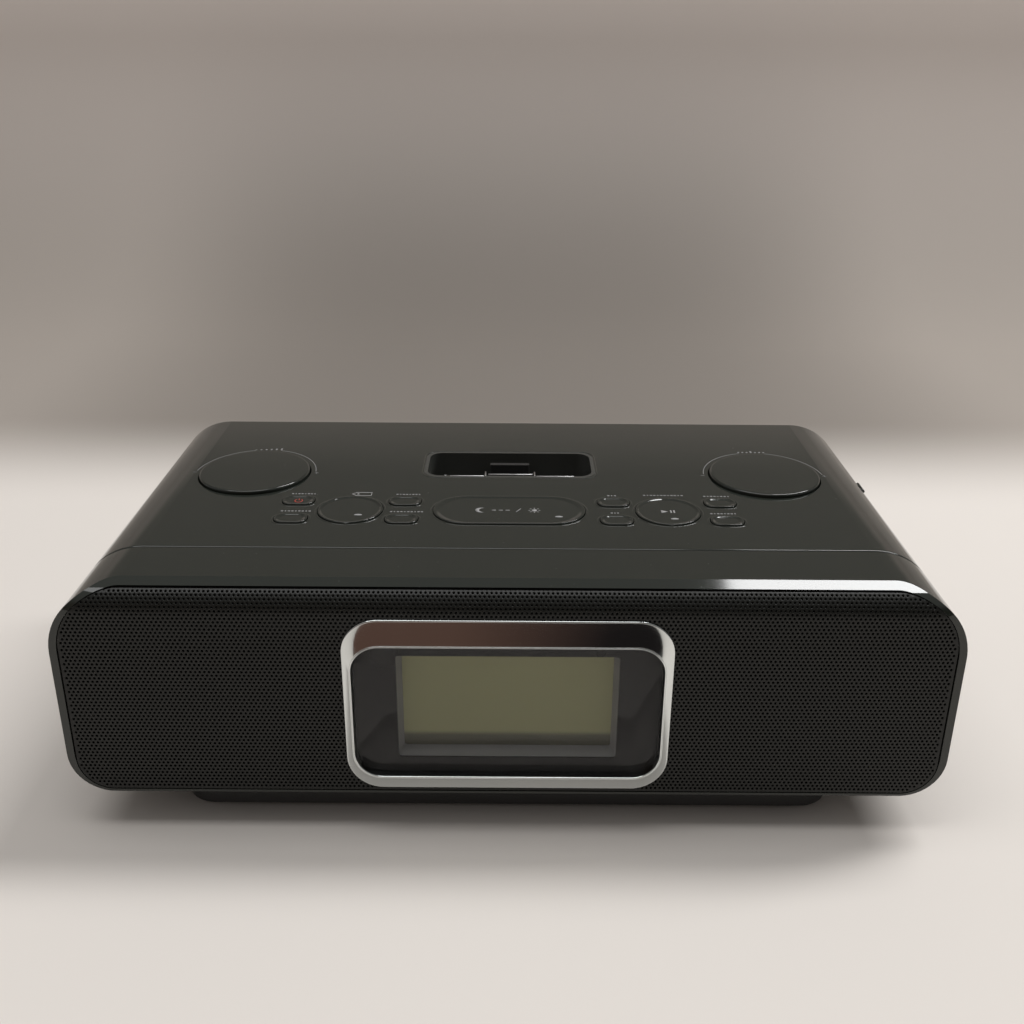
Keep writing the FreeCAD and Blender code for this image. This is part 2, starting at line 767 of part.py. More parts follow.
CASE_POSTS = [(f"{sign}case_post_x", f"case_post_{end}")
              for _, sign in SIDES for end in ("front", "rear")]
MAIN_POSTS = [(f"{sign}(main_board_width / 2 - post_inset)", f"main_board_rear - {y}")
              for _, sign in SIDES for y in ("post_inset", "(main_board_length - post_inset)")]
FLOOR_TOP = "(base_height + wall)"


def make_cabinet_shell(name, low):
    """The part of the cabinet behind the seam, below or above the split."""
    body = new_body(name)
    near = "(seam_depth + seam_gap / 2)"
    block = new_sketch(body, "XZ_Plane", f"-{near}")
    add_cabinet_outline(block, "0")
    pad(body, block, f"cabinet_depth - {near}", back=True)
    for depth, radius in ((near, "seam_round"), ("cabinet_depth", "rear_round")):
        y = number(depth)
        dress(body, "Fillet", radius, lambda edge: level(edge, "y", y))
    rest = new_sketch(body, "XZ_Plane")
    tall = f"({TOP} - {SPLIT} + 10)" if low else "(split_height + 10)"
    mid = f"{SPLIT} + {tall} / 2" if low else f"{SPLIT} - {tall} / 2"
    add_rectangle(rest, "2 * cabinet_width", tall, "0", mid)
    pocket(body, rest)
    inside = new_sketch(body, "XZ_Plane")
    add_cabinet_outline(inside, "wall")
    pocket(body, inside)
    return body


def make_upper_cabinet():
    """Top and sides: knob cups, key windows, dock window and posts for the key board."""
    body = make_cabinet_shell("upper_cabinet", low=False)
    cups = new_sketch(body, "XY_Plane", UNDER_TOP)
    for x in KNOBS.values():
        add_circle(cups, "knob_radius + knob_gap + cup_wall", x, "knob_y")
    pad(body, cups, "cup_depth", back=True)
    bores = new_sketch(body, "XY_Plane", TOP)
    for x in KNOBS.values():
        add_circle(bores, "knob_radius + knob_gap", x, "knob_y")
    pocket(body, bores, "cup_depth")
    windows = new_sketch(body, "XY_Plane", TOP)
    for x in KNOBS.values():
        add_circle(windows, "bushing_radius + key_gap", x, "knob_y")
    for x, y in SMALL_KEYS.values():
        add_rectangle(windows, "key_length + 2 * key_gap", "key_width + 2 * key_gap", x, y,
                      "key_corner + key_gap")
    for x, y in ROUND_KEYS.values():
        add_circle(windows, "round_key_radius + key_gap", x, y)
    add_obround(windows, "snooze_length + 2 * key_gap", "snooze_width + 2 * key_gap",
                "0", "snooze_y")
    add_rectangle(windows, "dock_width + 2 * fit_gap", "dock_length + 2 * fit_gap", "0",
                  "dock_y", "dock_corner + fit_gap")
    pocket(body, windows, "wall + cup_depth + 1")
    posts = new_sketch(body, "XY_Plane", UNDER_TOP)
    for x, y in BOARD_POSTS:
        add_circle(posts, "board_post_radius", x, y)
    pad(body, posts, f"{UNDER_TOP} - {BOARD_TOP}", back=True)
    posts = new_sketch(body, "XY_Plane", UNDER_TOP)
    for x, y in CASE_POSTS:
        add_circle(posts, "case_post_radius", x, y)
    pad(body, posts, f"{UNDER_TOP} - {FLOOR_TOP}", back=True)
    threads = new_sketch(body, "XY_Plane", FLOOR_TOP)
    for x, y in CASE_POSTS:
        add_circle(threads, "screw_radius", x, y)
    pocket(body, threads, "screw_length", along=True)
    return body


def make_shoulder_stud():
    """Low oval stud, long from front to rear, on the right shoulder's curve."""
    x = "cabinet_width / 2 - top_corner * (1 - sin(stud_angle))"
    z = f"{TOP} - top_corner * (1 - cos(stud_angle))"
    body = new_body("shoulder_stud", x, "stud_y", z, VEC(0, 1, 0), "stud_angle")
    oval = new_sketch(body)
    add_rectangle(oval, "stud_width", "stud_length", high="stud_width / 2 - 0.01")
    pad(body, oval, "stud_proud")
    top_z = number("stud_proud")
    dress(body, "Fillet", "stud_round", lambda edge: level(edge, "z", top_z))


PLINTH_REAR = "(plinth_y + plinth_length / 2)"
BAY_Y = f"({PLINTH_REAR} - door_margin - bay_length / 2)"
DOOR_WIDTH = "(bay_width + 2 * door_margin)"
DOOR_LENGTH = "(bay_length + 2 * door_margin)"
DOOR_LIP = "(door_thick / 2)"


def make_bottom_cabinet():
    """Tray under the cabinet with a sunken plinth, a battery bay and a door recess."""
    body = make_cabinet_shell("bottom_cabinet", low=True)
    plinth = new_sketch(body, "XY_Plane", "base_height")
    add_rectangle(plinth, "plinth_width", "plinth_length", "0", "plinth_y", "plinth_corner")
    pad(body, plinth, f"base_height - {PLINTH_LOW}", back=True)
    well = new_sketch(body, "XY_Plane", FLOOR_TOP)
    front = "(seam_depth + lip_reach + wall)"
    rear = f"({PLINTH_REAR} - wall)"
    add_rectangle(well, "plinth_width - 2 * wall", f"{rear} - {front}", "0",
                  f"({front} + {rear}) / 2", "plinth_corner - wall")
    pocket(body, well, f"base_height - {PLINTH_LOW}")
    bay = new_sketch(body, "XY_Plane", PLINTH_LOW)
    add_rectangle(bay, f"{DOOR_WIDTH} + 2 * (tongue + wall)", f"{DOOR_LENGTH} + 2 * wall",
                  "bay_x", f"{PLINTH_REAR} - {DOOR_LENGTH} / 2 - wall")
    pad(body, bay, "bay_depth + wall")
    hollow = new_sketch(body, "XY_Plane", PLINTH_LOW)
    add_rectangle(hollow, "bay_width", "bay_length", "bay_x", BAY_Y)
    pocket(body, hollow, "bay_depth", along=True)
    cut_door_recess(body)
    posts = new_sketch(body, "XY_Plane", f"{PLINTH_LOW} + wall / 2")
    for x, y in MAIN_POSTS:
        add_circle(posts, "board_post_radius", x, y)
    pad(body, posts, f"main_board_z - {PLINTH_LOW} - wall / 2")
    holes = new_sketch(body, "XY_Plane", FLOOR_TOP)
    for x, y in CASE_POSTS:
        add_circle(holes, "screw_radius", x, y)
    pocket(body, holes, "wall + 1")
    return body


def cut_door_recess(body):
    """Recess for the battery door, open at the plinth's rear, with a slot each side."""
    length = f"({DOOR_LENGTH} + slide_gap)"
    middle = f"{PLINTH_REAR} - {length} / 2 + 0.5"
    recess = new_sketch(body, "XY_Plane", PLINTH_LOW)
    add_rectangle(recess, f"{DOOR_WIDTH} + 2 * slide_gap", f"{length} + 1", "bay_x", middle)
    pocket(body, recess, "door_thick + slide_gap / 2", along=True)
    slots = new_sketch(body, "XY_Plane", f"{PLINTH_LOW} + {DOOR_LIP} - slide_gap / 2")
    add_rectangle(slots, f"{DOOR_WIDTH} + 2 * (tongue + slide_gap)", f"{length} + 1",
                  "bay_x", middle)
    pocket(body, slots, f"door_thick - {DOOR_LIP} + slide_gap", along=True)


def make_battery_bay():
    """Sliding door, the two backup cells and their contacts."""
    door = new_body("battery_door", "bay_x", f"{PLINTH_REAR} - {DOOR_LENGTH} / 2", PLINTH_LOW)
    plate = new_sketch(door)
    add_rectangle(plate, DOOR_WIDTH, DOOR_LENGTH)
    pad(door, plate, "door_thick")
    tongues = new_sketch(door, "XY_Plane", DOOR_LIP)
    add_rectangle(tongues, f"{DOOR_WIDTH} + 2 * tongue", DOOR_LENGTH)
    pad(door, tongues, f"door_thick - {DOOR_LIP}")
    grip = new_sketch(door)
    add_rectangle(grip, "grip_width", "grip_slot", "0", "bay_length / 4")
    cut = pocket(door, grip, "grip_deep", along=True)
    ridges = door.newObject("PartDesign::LinearPattern", "LinearPattern")
    ridges.Originals = [cut]
    ridges.Direction = (grip, ["V_Axis"])
    ridges.setExpression("Length", link("6 * grip_slot"))
    ridges.Occurrences = 4
    door.Tip = ridges

    cell_z = f"({PLINTH_LOW} + door_thick + slide_gap + cell_radius)"
    cells = new_body("backup_cells", "bay_x - cell_length / 2", BAY_Y, cell_z)
    cells.AllowCompound = True
    row = new_sketch(cells, "YZ_Plane")
    nubs = new_sketch(cells, "YZ_Plane")
    for sign in "-", "":
        spot = f"{sign}(bay_length / 4)"
        add_circle(row, "cell_radius", spot)
        add_circle(nubs, "cell_radius / 3", spot)
    pad(cells, row, "cell_length")
    pad(cells, nubs, "cell_length + 1")

    contacts = new_body("battery_contacts", "bay_x", BAY_Y, cell_z)
    contacts.AllowCompound = True
    plates = new_sketch(contacts, "YZ_Plane", "bay_width / 2 - contact_thick")
    add_contacts(plates, "cell_radius")
    pad(contacts, plates, "contact_thick")
    plates = new_sketch(contacts, "YZ_Plane", "-bay_width / 2")
    add_contacts(plates, "cell_radius")
    pad(contacts, plates, "contact_thick")
    for near, far, size in (("cell_length / 2 + 1", "bay_width / 2", "cell_radius / 2"),
                            ("-bay_width / 2", "-cell_length / 2", "cell_radius * 0.7")):
        springs = new_sketch(contacts, "YZ_Plane", near)
        for sign in "-", "":
            add_circle(springs, size, f"{sign}(bay_length / 4)")
        pad(contacts, springs, f"{far} - ({near})")


def add_contacts(sketch, half):
    """Two square contact plates side by side."""
    for sign in "-", "":
        add_rectangle(sketch, f"2 * {half}", f"2 * {half}", f"{sign}(bay_length / 4)")


REAR_FACE = "(cabinet_depth - rear_sunk)"
BOARD_FACE = "(main_board_z + board_thick)"
# name: (x, box width, box height, barrel radius, bore radius, bore depth, pin radius)
JACKS = {
    "power_jack": ("power_jack_x", "9", "11", "power_jack_bore + jack_barrel_wall",
                   "power_jack_bore", "plain_jack_depth", "power_jack_pin"),
    "aux_jack": ("aux_jack_x", "7", "8", "aux_jack_bore + jack_barrel_wall", "aux_jack_bore",
                 "aux_jack_depth", None),
    "aerial_jack": ("aerial_jack_x", "12", "13", "aerial_jack_bore + jack_barrel_wall",
                    "aerial_jack_bore", "plain_jack_depth", "aerial_jack_pin"),
}


def make_rear_panel():
    """Plate that closes the rear, with vents and jack holes."""
    body = new_body("rear_panel", y=f"{REAR_FACE} - rear_thick")
    plate = new_sketch(body, "XZ_Plane")
    add_cabinet_outline(plate, "wall + fit_gap")
    for x, _, tall, barrel, *_ in JACKS.values():
        add_circle(plate, f"{barrel} + jack_gap", x, f"{BOARD_FACE} + {tall} / 2")
    pad(body, plate, "rear_thick", back=True)
    slot = new_sketch(body, "XZ_Plane", "1")
    add_rectangle(slot, "vent_width", "vent_length", "-vent_x / 2", MID_HEIGHT,
                  "vent_width / 2 - 0.01")
    cut = pocket(body, slot, "rear_thick + 2")
    row = body.newObject("PartDesign::LinearPattern", "LinearPattern")
    row.Originals = [cut]
    row.Direction = (slot, ["H_Axis"])
    row.setExpression("Length", link("vent_pitch * (vent_count - 1)"))
    row.setExpression("Occurrences", link("vent_count"))
    body.Tip = row
    return body


def make_jack(name, x, width, tall, barrel, bore, deep, pin):
    """A jack on the main board: box, barrel through the rear panel, bore and its pin."""
    body = new_body(name, x, REAR_FACE, f"{BOARD_FACE} + {tall} / 2")
    inner = "(rear_thick + jack_gap)"
    box = new_sketch(body, "XZ_Plane", inner)
    add_rectangle(box, width, tall)
    pad(body, box, "jack_length")
    nose = new_sketch(body, "XZ_Plane", "0")
    add_circle(nose, barrel)
    pad(body, nose, inner)
    hole = new_sketch(body, "XZ_Plane", "0")
    add_circle(hole, bore)
    pocket(body, hole, deep, along=True)
    if pin:
        stud = new_body(f"{name}_pin", x, REAR_FACE, f"{BOARD_FACE} + {tall} / 2")
        section = new_sketch(stud, "XZ_Plane", "pin_sunk")
        add_circle(section, pin)
        pad(stud, section, f"{deep} - pin_sunk")


def make_electronics():
    """Main board with its tuner can, heat sink, capacitors and jacks."""
    board = new_body("main_board", z="main_board_z")
    outline = new_sketch(board)
    middle = "main_board_rear - main_board_length / 2"
    add_rectangle(outline, "main_board_width + 2 * side_board_reach", "main_board_length",
                  "0", middle, "board_corner")
    pad(board, outline, "board_thick")
    can = new_body("tuner_can", "can_x", middle, BOARD_FACE)
    box = new_sketch(can)
    add_rectangle(box, "can_width", "can_length", high="sheet_corner")
    pad(can, box, "can_tall")
    sink = new_body("heat_sink", "-sink_x", "main_board_rear - sink_rear", BOARD_FACE)
    base = new_sketch(sink)
    add_rectangle(base, "sink_width", "sink_base")
    for index in range(-3, 4):
        add_rectangle(base, "fin_thick", "fin_long", f"{index} * fin_pitch",
                      "(sink_base + fin_long) / 2")
    pad(sink, base, "sink_tall")
    bank = new_body("capacitors", "0", middle, BOARD_FACE)
    bank.AllowCompound = True
    cans = new_sketch(bank)
    for x, y in (("-10", "20"), ("10", "20"), ("-4", "0")):
        add_circle(cans, "capacitor_radius", x, y)
    pad(bank, cans, "capacitor_tall")
    for name, values in JACKS.items():
        make_jack(name, *values)


def make_case_screws():
    """Four screws from below through the tray into the posts of the upper cabinet."""
    body = new_body("case_screws")
    body.AllowCompound = True
    heads = new_sketch(body, "XY_Plane", "base_height")
    shanks = new_sketch(body, "XY_Plane", "base_height")
    for x, y in CASE_POSTS:
        add_circle(heads, "screw_head_radius", x, y)
        add_circle(shanks, "screw_radius - fit_gap", x, y)
    pad(body, heads, "screw_head_tall", back=True)
    pad(body, shanks, "screw_length")


def make_feet():
    """Four rubber feet sunk into the plinth."""
    for name, i, j in (("front_left", "-", "-"), ("front_right", "", "-"),
                       ("rear_left", "-", "+"), ("rear_right", "", "+")):
        body = new_body(f"{name}_foot", f"{i}foot_x", f"plinth_y {j} foot_y")
        disc = new_sketch(body)
        add_circle(disc, "foot_radius")
        pad(body, disc, "foot_height")


# ---------------------------------------------------------------- controls
def make_knob(name, x):
    """Knob, its shaft and the encoder that the shaft turns in."""
    knob = new_body(f"{name}_knob", x, "knob_y", TOP)
    section = new_sketch(knob, "XZ_Plane")
    bore, hub = "(shaft_radius + shaft_gap)", "(shaft_radius + knob_hub)"
    top, low = "knob_proud", "(knob_proud - knob_skirt)"
    roof, side = f"{top} - knob_wall", "knob_radius - knob_wall"
    add_polygon(section, [
        ("0", top), ("knob_radius", top), ("knob_radius", low), (side, low),
        (side, roof), (hub, roof), (hub, low), (bore, low),
        (bore, f"{top} - shaft_roof"), ("0", f"{top} - shaft_roof"),
    ])
    revolve(knob, section)
    top_z = number("knob_proud")
    dress(knob, "Fillet", "knob_round", lambda edge: level(edge, "z", top_z))

    encoder = new_body(f"{name}_encoder", x, "knob_y", BOARD_TOP)
    square = new_sketch(encoder)
    add_rectangle(square, "encoder_side", "encoder_side")
    pad(encoder, square, "encoder_tall")
    bushing = new_sketch(encoder)
    add_circle(bushing, "bushing_radius")
    pad(encoder, bushing, "board_drop - cup_depth + 1")
    bore_sketch = new_sketch(encoder, "XY_Plane", "encoder_floor")
    add_circle(bore_sketch, "shaft_radius + shaft_gap")
    pocket(encoder, bore_sketch, "board_drop", along=True)

    shaft = new_body(f"{name}_shaft", x, "knob_y",
                     f"{BOARD_TOP} + encoder_floor + shaft_gap")
    round_bar = new_sketch(shaft)
    add_circle(round_bar, "shaft_radius")
    pad(shaft, round_bar,
        "board_drop + knob_proud - shaft_roof - encoder_floor - 2 * shaft_gap")


def make_key(name, x, y, add_outline):
    """A dished key cap, a flange that stops it under the top and a stem to its switch."""
    body = new_body(name, x, y, TOP)
    cap = new_sketch(body, "XY_Plane", "-wall")
    add_outline(cap, "0")
    pad(body, cap, "wall + key_proud")
    top_z = number("key_proud")
    dress(body, "Fillet", "key_edge", lambda edge: level(edge, "z", top_z))
    brim = new_sketch(body, "XY_Plane", "key_proud")
    add_outline(brim, "-key_rim")
    floor = new_sketch(body, "XY_Plane", "key_proud - key_dish")
    add_outline(floor, "-2 * key_rim")
    loft(body, brim, floor, cut=True)
    flange = new_sketch(body, "XY_Plane", "-wall")
    add_outline(flange, "key_flange")
    pad(body, flange, "key_flange_thick", back=True)
    stem = new_sketch(body, "XY_Plane", "-wall")
    add_circle(stem, "stem_radius")
    pad(body, stem, "board_drop - wall - switch_tall - key_travel - plunger_gap", back=True)
    return body


def make_keys():
    """Eight small keys, two round keys and the snooze bar; outlines grow by grow."""
    for name, (x, y) in SMALL_KEYS.items():
        make_key(name, x, y, lambda sketch, grow: add_rectangle(
            sketch, f"key_length + 2 * ({grow})", f"key_width + 2 * ({grow})",
            high=f"key_corner + ({grow})"))
    for name, (x, y) in ROUND_KEYS.items():
        make_key(name, x, y, lambda sketch, grow: add_circle(
            sketch, f"round_key_radius + ({grow})"))
    make_key("snooze_bar", "0", "snooze_y", lambda sketch, grow: add_obround(
        sketch, f"snooze_length + 2 * ({grow})", f"snooze_width + 2 * ({grow})"))


def make_key_board():
    """Board under the keys, and the switches on it."""
    board = new_body("key_board", z=f"{BOARD_TOP} - board_thick")
    outline = new_sketch(board)
    add_rectangle(outline, "key_board_width", "key_board_length", "0", "key_board_y",
                  "board_corner")
    pad(board, outline, "board_thick")
    switches = new_body("key_switches", z=BOARD_TOP)
    places = [*SMALL_KEYS.values(), *ROUND_KEYS.values(), ("0", "snooze_y")]
    bases = new_sketch(switches)
    for x, y in places:
        add_rectangle(bases, "switch_side", "switch_side", x, y)
    switches.AllowCompound = True
    pad(switches, bases, "switch_tall - plunger_tall")
    plungers = new_sketch(switches)
    for x, y in places:
        add_circle(plungers, "stem_radius", x, y)
    pad(switches, plungers, "switch_tall")


def make_dock():
    """Well, connector and connector board of the dock."""
    well = new_body("dock_well", y="dock_y", z=TOP)
    outer = new_sketch(well, "XY_Plane", "0")
    add_rectangle(outer, "dock_width", "dock_length", high="dock_corner")
    pad(well, outer, "dock_depth + dock_wall", back=True)
    flange = new_sketch(well, "XY_Plane", "-wall")
    add_rectangle(flange, "dock_width + 2 * dock_flange", "dock_length + 2 * dock_flange",
                  high="dock_corner + dock_flange")
    pad(well, flange, "dock_wall", back=True)
    inner = new_sketch(well, "XY_Plane", "0")
    add_rectangle(inner, "dock_width - 2 * dock_wall", "dock_length - 2 * dock_wall",
                  high="dock_corner - dock_wall")
    pocket(well, inner, "dock_depth")
    bridge = new_sketch(well, "XY_Plane", "-dock_depth")
    add_rectangle(bridge, "bridge_width", "bridge_length", "0", "plug_shift")
    pad(well, bridge, "bridge_tall")
    slot = new_sketch(well, "XY_Plane", "bridge_tall - dock_depth")
    add_rectangle(slot, "plug_width + 2 * fit_gap", "plug_thick + 2 * fit_gap",
                  "0", "plug_shift")
    pocket(well, slot)

    board_z = f"{TOP} - dock_depth - dock_wall - board_thick"
    board = new_body("dock_board", y=PLUG_Y, z=board_z)
    outline = new_sketch(board)
    add_rectangle(outline, "dock_board_width", "dock_board_length")
    pad(board, outline, "board_thick")
    plug = new_body("dock_connector", y=PLUG_Y, z=f"{TOP} - dock_depth - dock_wall")
    tongue = new_sketch(plug)
    add_rectangle(tongue, "plug_width", "plug_thick", high="plug_corner")
    pad(plug, tongue, "dock_wall + bridge_tall + plug_tall")


make_front_frame()
make_grille()
make_display()
make_speaker_baffle()
make_speaker("left", "-")
make_speaker("right", "")
make_upper_cabinet()
make_shoulder_stud()
make_bottom_cabinet()
make_battery_bay()
make_electronics()
make_rear_panel()
make_case_screws()
make_feet()
for knob_name, knob_x in KNOBS.items():
    make_knob(knob_name, knob_x)
make_keys()
make_key_board()
make_dock()


def check_and_write():
    """Refuse a failed object or shape, then write one file for each sub-part."""
    DOC.recompute()
    for item in DOC.Objects:
        if {"Invalid", "Error"} & set(item.State):
            raise ValueError(f"{item.Label} failed: {item.State}")
    for body in DOC.findObjects("PartDesign::Body"):
        shape = body.Shape
        if shape.isNull() or not shape.isValid() or not shape.Solids:
            raise ValueError(f"{body.Label} has no valid shape")
        shape.exportStep(f"parts/{body.Label}.step")


check_and_write()
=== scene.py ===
"""Looks of a table clock radio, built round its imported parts.

Metres; X to the right, Y from the front to the rear, Z up. The front leans back by
FRONT_LEAN, so what lies on it is given as x, v up along the front and w out of it.
"""
import json
import math
import bpy
import numpy as np
from mathutils import Matrix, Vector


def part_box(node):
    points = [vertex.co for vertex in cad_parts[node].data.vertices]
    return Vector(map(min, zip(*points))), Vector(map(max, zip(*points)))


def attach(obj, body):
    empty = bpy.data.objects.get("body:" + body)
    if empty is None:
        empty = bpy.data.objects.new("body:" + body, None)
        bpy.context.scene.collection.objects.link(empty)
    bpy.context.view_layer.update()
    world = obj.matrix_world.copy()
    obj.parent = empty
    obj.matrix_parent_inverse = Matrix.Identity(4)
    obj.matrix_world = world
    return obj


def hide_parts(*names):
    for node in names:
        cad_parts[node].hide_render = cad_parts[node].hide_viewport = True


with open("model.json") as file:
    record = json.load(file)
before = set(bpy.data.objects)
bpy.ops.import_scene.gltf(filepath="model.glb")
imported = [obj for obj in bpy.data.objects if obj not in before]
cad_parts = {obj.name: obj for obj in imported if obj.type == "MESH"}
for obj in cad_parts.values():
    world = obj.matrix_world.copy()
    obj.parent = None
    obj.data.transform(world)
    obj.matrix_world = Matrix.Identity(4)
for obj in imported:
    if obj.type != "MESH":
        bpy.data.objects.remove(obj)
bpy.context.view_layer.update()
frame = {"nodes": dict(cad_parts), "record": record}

MM = 0.001
FRONT_LEAN = math.radians(2.0)
FRONT_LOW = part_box("front_frame")[0]
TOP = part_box("upper_cabinet")[1].z
ROOT = "cabinet"

# the sheet of the grille
BROW_START = 69.5 * MM
BROW_RADIUS = 9.0 * MM
BROW_SWEEP = math.radians(60)
GRILLE_LOW = 1.3 * MM
GRILLE_HALF = 149.3 * MM
GRILLE_TOP_CORNER = 20.8 * MM
GRILLE_LOW_CORNER = 11.8 * MM
GRILLE_SHEET = 0.8 * MM
GRILLE_TURN = 6.0 * MM
HOLE_PITCH = 1.55 * MM
HOLE_RADIUS = 0.43 * MM
HOLE_EDGE = 0.10 * MM
HOLE_SIDES = 12
PLAIN_MARGIN = 0.7 * MM
CELL_UNDER_BEZEL = 1.2 * MM

# the display's ring and the opening inside it
BEZEL = dict(width=111 * MM, tall=65.9 * MM, low=2.7 * MM, corner=12.5 * MM)
SCREEN = dict(width=104.6 * MM, tall=50.8 * MM, low=8.8 * MM, corner=9.5 * MM)
BEZEL_PROUD = 3.0 * MM
BEZEL_FOOT = -2.0 * MM
LIP = 0.5 * MM

# keys, knobs and dock: x, y behind the front's foot
SMALL_KEY = dict(width=12.2 * MM, tall=8.0 * MM, corner=3.5 * MM)
ROUND_KEY = dict(width=24.4 * MM, tall=24.4 * MM, corner=12.2 * MM)
SNOOZE = dict(width=57.4 * MM, tall=25.2 * MM, corner=12.6 * MM)
REAR_ROW, FRONT_ROW = 74.6, 58.2
KEY_PLACES = {
    "power_key": (-81.0, REAR_ROW, SMALL_KEY), "wake_key": (-81.0, FRONT_ROW, SMALL_KEY),
    "preset_key": (-40.0, REAR_ROW, SMALL_KEY), "program_key": (-40.0, FRONT_ROW, SMALL_KEY),
    "set_key": (40.0, REAR_ROW, SMALL_KEY), "tone_key": (40.0, FRONT_ROW, SMALL_KEY),
    "alarm_one_key": (81.0, REAR_ROW, SMALL_KEY), "alarm_two_key": (81.0, FRONT_ROW, SMALL_KEY),
    "tag_key": (-60.0, 66.4, ROUND_KEY), "play_key": (60.0, 66.4, ROUND_KEY),
    "snooze_bar": (0.0, 66.8, SNOOZE),
}
KEY_PROUD = 0.55 * MM
KEY_GAP = 0.3 * MM
KEY_EDGE = 0.35 * MM
KEY_FOOT = -2.4 * MM
PAN_DEPTH = 0.42 * MM
RIM_WIDTH = 0.9 * MM
RIM_HEIGHT = 0.14 * MM
SUNK = 0.02 * MM
KNOB_PLACES = ((-103.8, 102.3), (103.8, 102.3))
# light grey nibs, painted highlights standing in for the lamp's glint on three key floors: x, y
# from each key's middle
GLINT_NIBS = {"tag_key": (3.5, -4.7), "play_key": (1.7, -6.5), "snooze_bar": (18.6, -5.7)}
NIB = dict(long=1.5 * MM, wide=0.6 * MM, tall=0.3 * MM)
DOCK = dict(width=70.6 * MM, tall=28.6 * MM, corner=5.0 * MM)
DOCK_Y = 114.0
DOCK_LIP = dict(width=0.9 * MM, height=0.16 * MM, reach=0.75 * MM)

# printed marks, in millimetres: where each row of dashes is centred and how long it is
LABELS = {
    "power_key": (-80.2, 9.8), "wake_key": (-80.4, 11.7), "preset_key": (-39.4, 9.8),
    "program_key": (-38.7, 12.9), "set_key": (39.9, 3.9), "tone_key": (39.8, 3.5),
    "alarm_one_key": (80.7, 10.6), "alarm_two_key": (80.6, 10.2),
}
LABEL_RISE = 6.9
LABEL_STEP = 1.3
LABEL_TALL = 0.95
KNOB_ARC = (24.4, 26.4)
KNOB_SIGN_X = 24.9
KNOB_LINE = 0.32
PRINT_LIFT = 0.01 * MM
PRINT_THICK = 0.03 * MM


# ---------------------------------------------------------------- shader expressions
class Socket:
    """An output socket; arithmetic on it adds Math nodes to its material."""

    def __init__(self, nodes, output):
        self.nodes, self.output = nodes, output

    def math(self, operation, *others):
        return self.nodes.add("ShaderNodeMath", {"operation": operation}, self, *others)

    def __add__(self, other):
        return self.math("ADD", other)

    def __sub__(self, other):
        return self.math("SUBTRACT", other)

    def __mul__(self, other):
        return self.math("MULTIPLY", other)

    def __truediv__(self, other):
        return self.math("DIVIDE", other)

    def __rsub__(self, other):
        return self.nodes.add("ShaderNodeMath", {"operation": "SUBTRACT"}, other, self)

    __radd__ = __add__
    __rmul__ = __mul__

    def above(self, edge, soft):
        """0 below edge, 1 above it, with a soft step."""
        return ((self - edge) / soft + 0.5).clamped()

    def eased(self):
        """A share from 0 to 1, slower near both ends: t t (3 - 2 t)."""
        return self * self * (3.0 - 2.0 * self)

    def clamped(self):
        return self.nodes.add("ShaderNodeClamp", {}, self)


class Nodes:
    """The node tree of one material or world, with short ways to add to it."""

    def __init__(self, name, kind="materials", shader="Principled BSDF", place="Object"):
        self.material = getattr(bpy.data, kind).new(name)
        self.material.use_nodes = True
        self.tree = self.material.node_tree
        self.shader = self.tree.nodes[shader]
        self.place = self.add("ShaderNodeTexCoord", {}, output=place)

    def add(self, kind, settings, *inputs, output=0, **named):
        """Add a node: its settings, then values or sockets for its inputs."""
        node = self.tree.nodes.new(kind)
        for key, value in settings.items():
            setattr(node, key, value)
        for key, value in [*enumerate(inputs), *named.items()]:
            target = node.inputs[key if isinstance(key, int) else key.replace("_", " ")]
            self.feed(target, value)
        return Socket(self, node.outputs[output])

    def feed(self, target, value):
        if isinstance(value, Socket):
            self.tree.links.new(value.output, target)
        else:
            target.default_value = value

    def set(self, **inputs):
        """Set inputs of the surface, such as Base_Color or Roughness."""
        for key, value in inputs.items():
            self.feed(self.shader.inputs[key.replace("_", " ")], value)
        return self

    def noise(self, scale, detail):
        return self.add("ShaderNodeTexNoise", {}, Vector=self.place, Scale=scale,
                        Detail=detail, Roughness=0.5)

    def mix(self, amount, first, second):
        """A colour between two colours."""
        node = self.tree.nodes.new("ShaderNodeMix")
        node.data_type = "RGBA"
        for index, value in ((0, amount), (6, first), (7, second)):
            self.feed(node.inputs[index], value)
        return Socket(self, node.outputs[2])

    def axes(self):
        """The x, y and z of the place."""
        return [self.add("ShaderNodeSeparateXYZ", {}, self.place, output=k) for k in "XYZ"]

    def bump(self, height, depth):
        return self.add("ShaderNodeBump", {}, Strength=1.0, Distance=depth, Height=height,
                        output="Normal")


def grey(value):
    """A grey colour, linear."""
    return (value, value, value, 1.0)


# ---------------------------------------------------------------- materials
def gloss_black():
    """Moulded black plastic: a deep gloss, faint waves and specks of dust."""
    n = Nodes("gloss_black")
    haze = n.noise(18, 3)
    speck = n.noise(900, 1).above(0.80, 0.04)
    n.set(Base_Color=n.mix(speck * 0.35, (0.0205, 0.0235, 0.0195, 1), grey(0.16)),
          Roughness=0.055 + haze * 0.04 + speck * 0.3,
          IOR=1.52, Normal=n.bump(n.noise(45, 2), 0.00002))
    return n.material


def satin_black():
    """Finely textured black plastic of the base, rear and door."""
    n = Nodes("satin_black")
    grain = n.noise(1400, 2)
    n.set(Base_Color=n.mix(n.noise(30, 3), grey(0.012), grey(0.018)),
          Roughness=0.42 + grain * 0.2, Normal=n.bump(grain, 0.00008))
    return n.material


def grille_black():
    """Black painted steel sheet."""
    n = Nodes("grille_black")
    n.shader.inputs["Specular IOR Level"].default_value = 0.32
    n.set(Base_Color=n.mix(n.noise(300, 2), (0.007, 0.0075, 0.006, 1),
                           (0.011, 0.0115, 0.010, 1)),
          Roughness=0.30 + n.noise(600, 2) * 0.12)
    return n.material


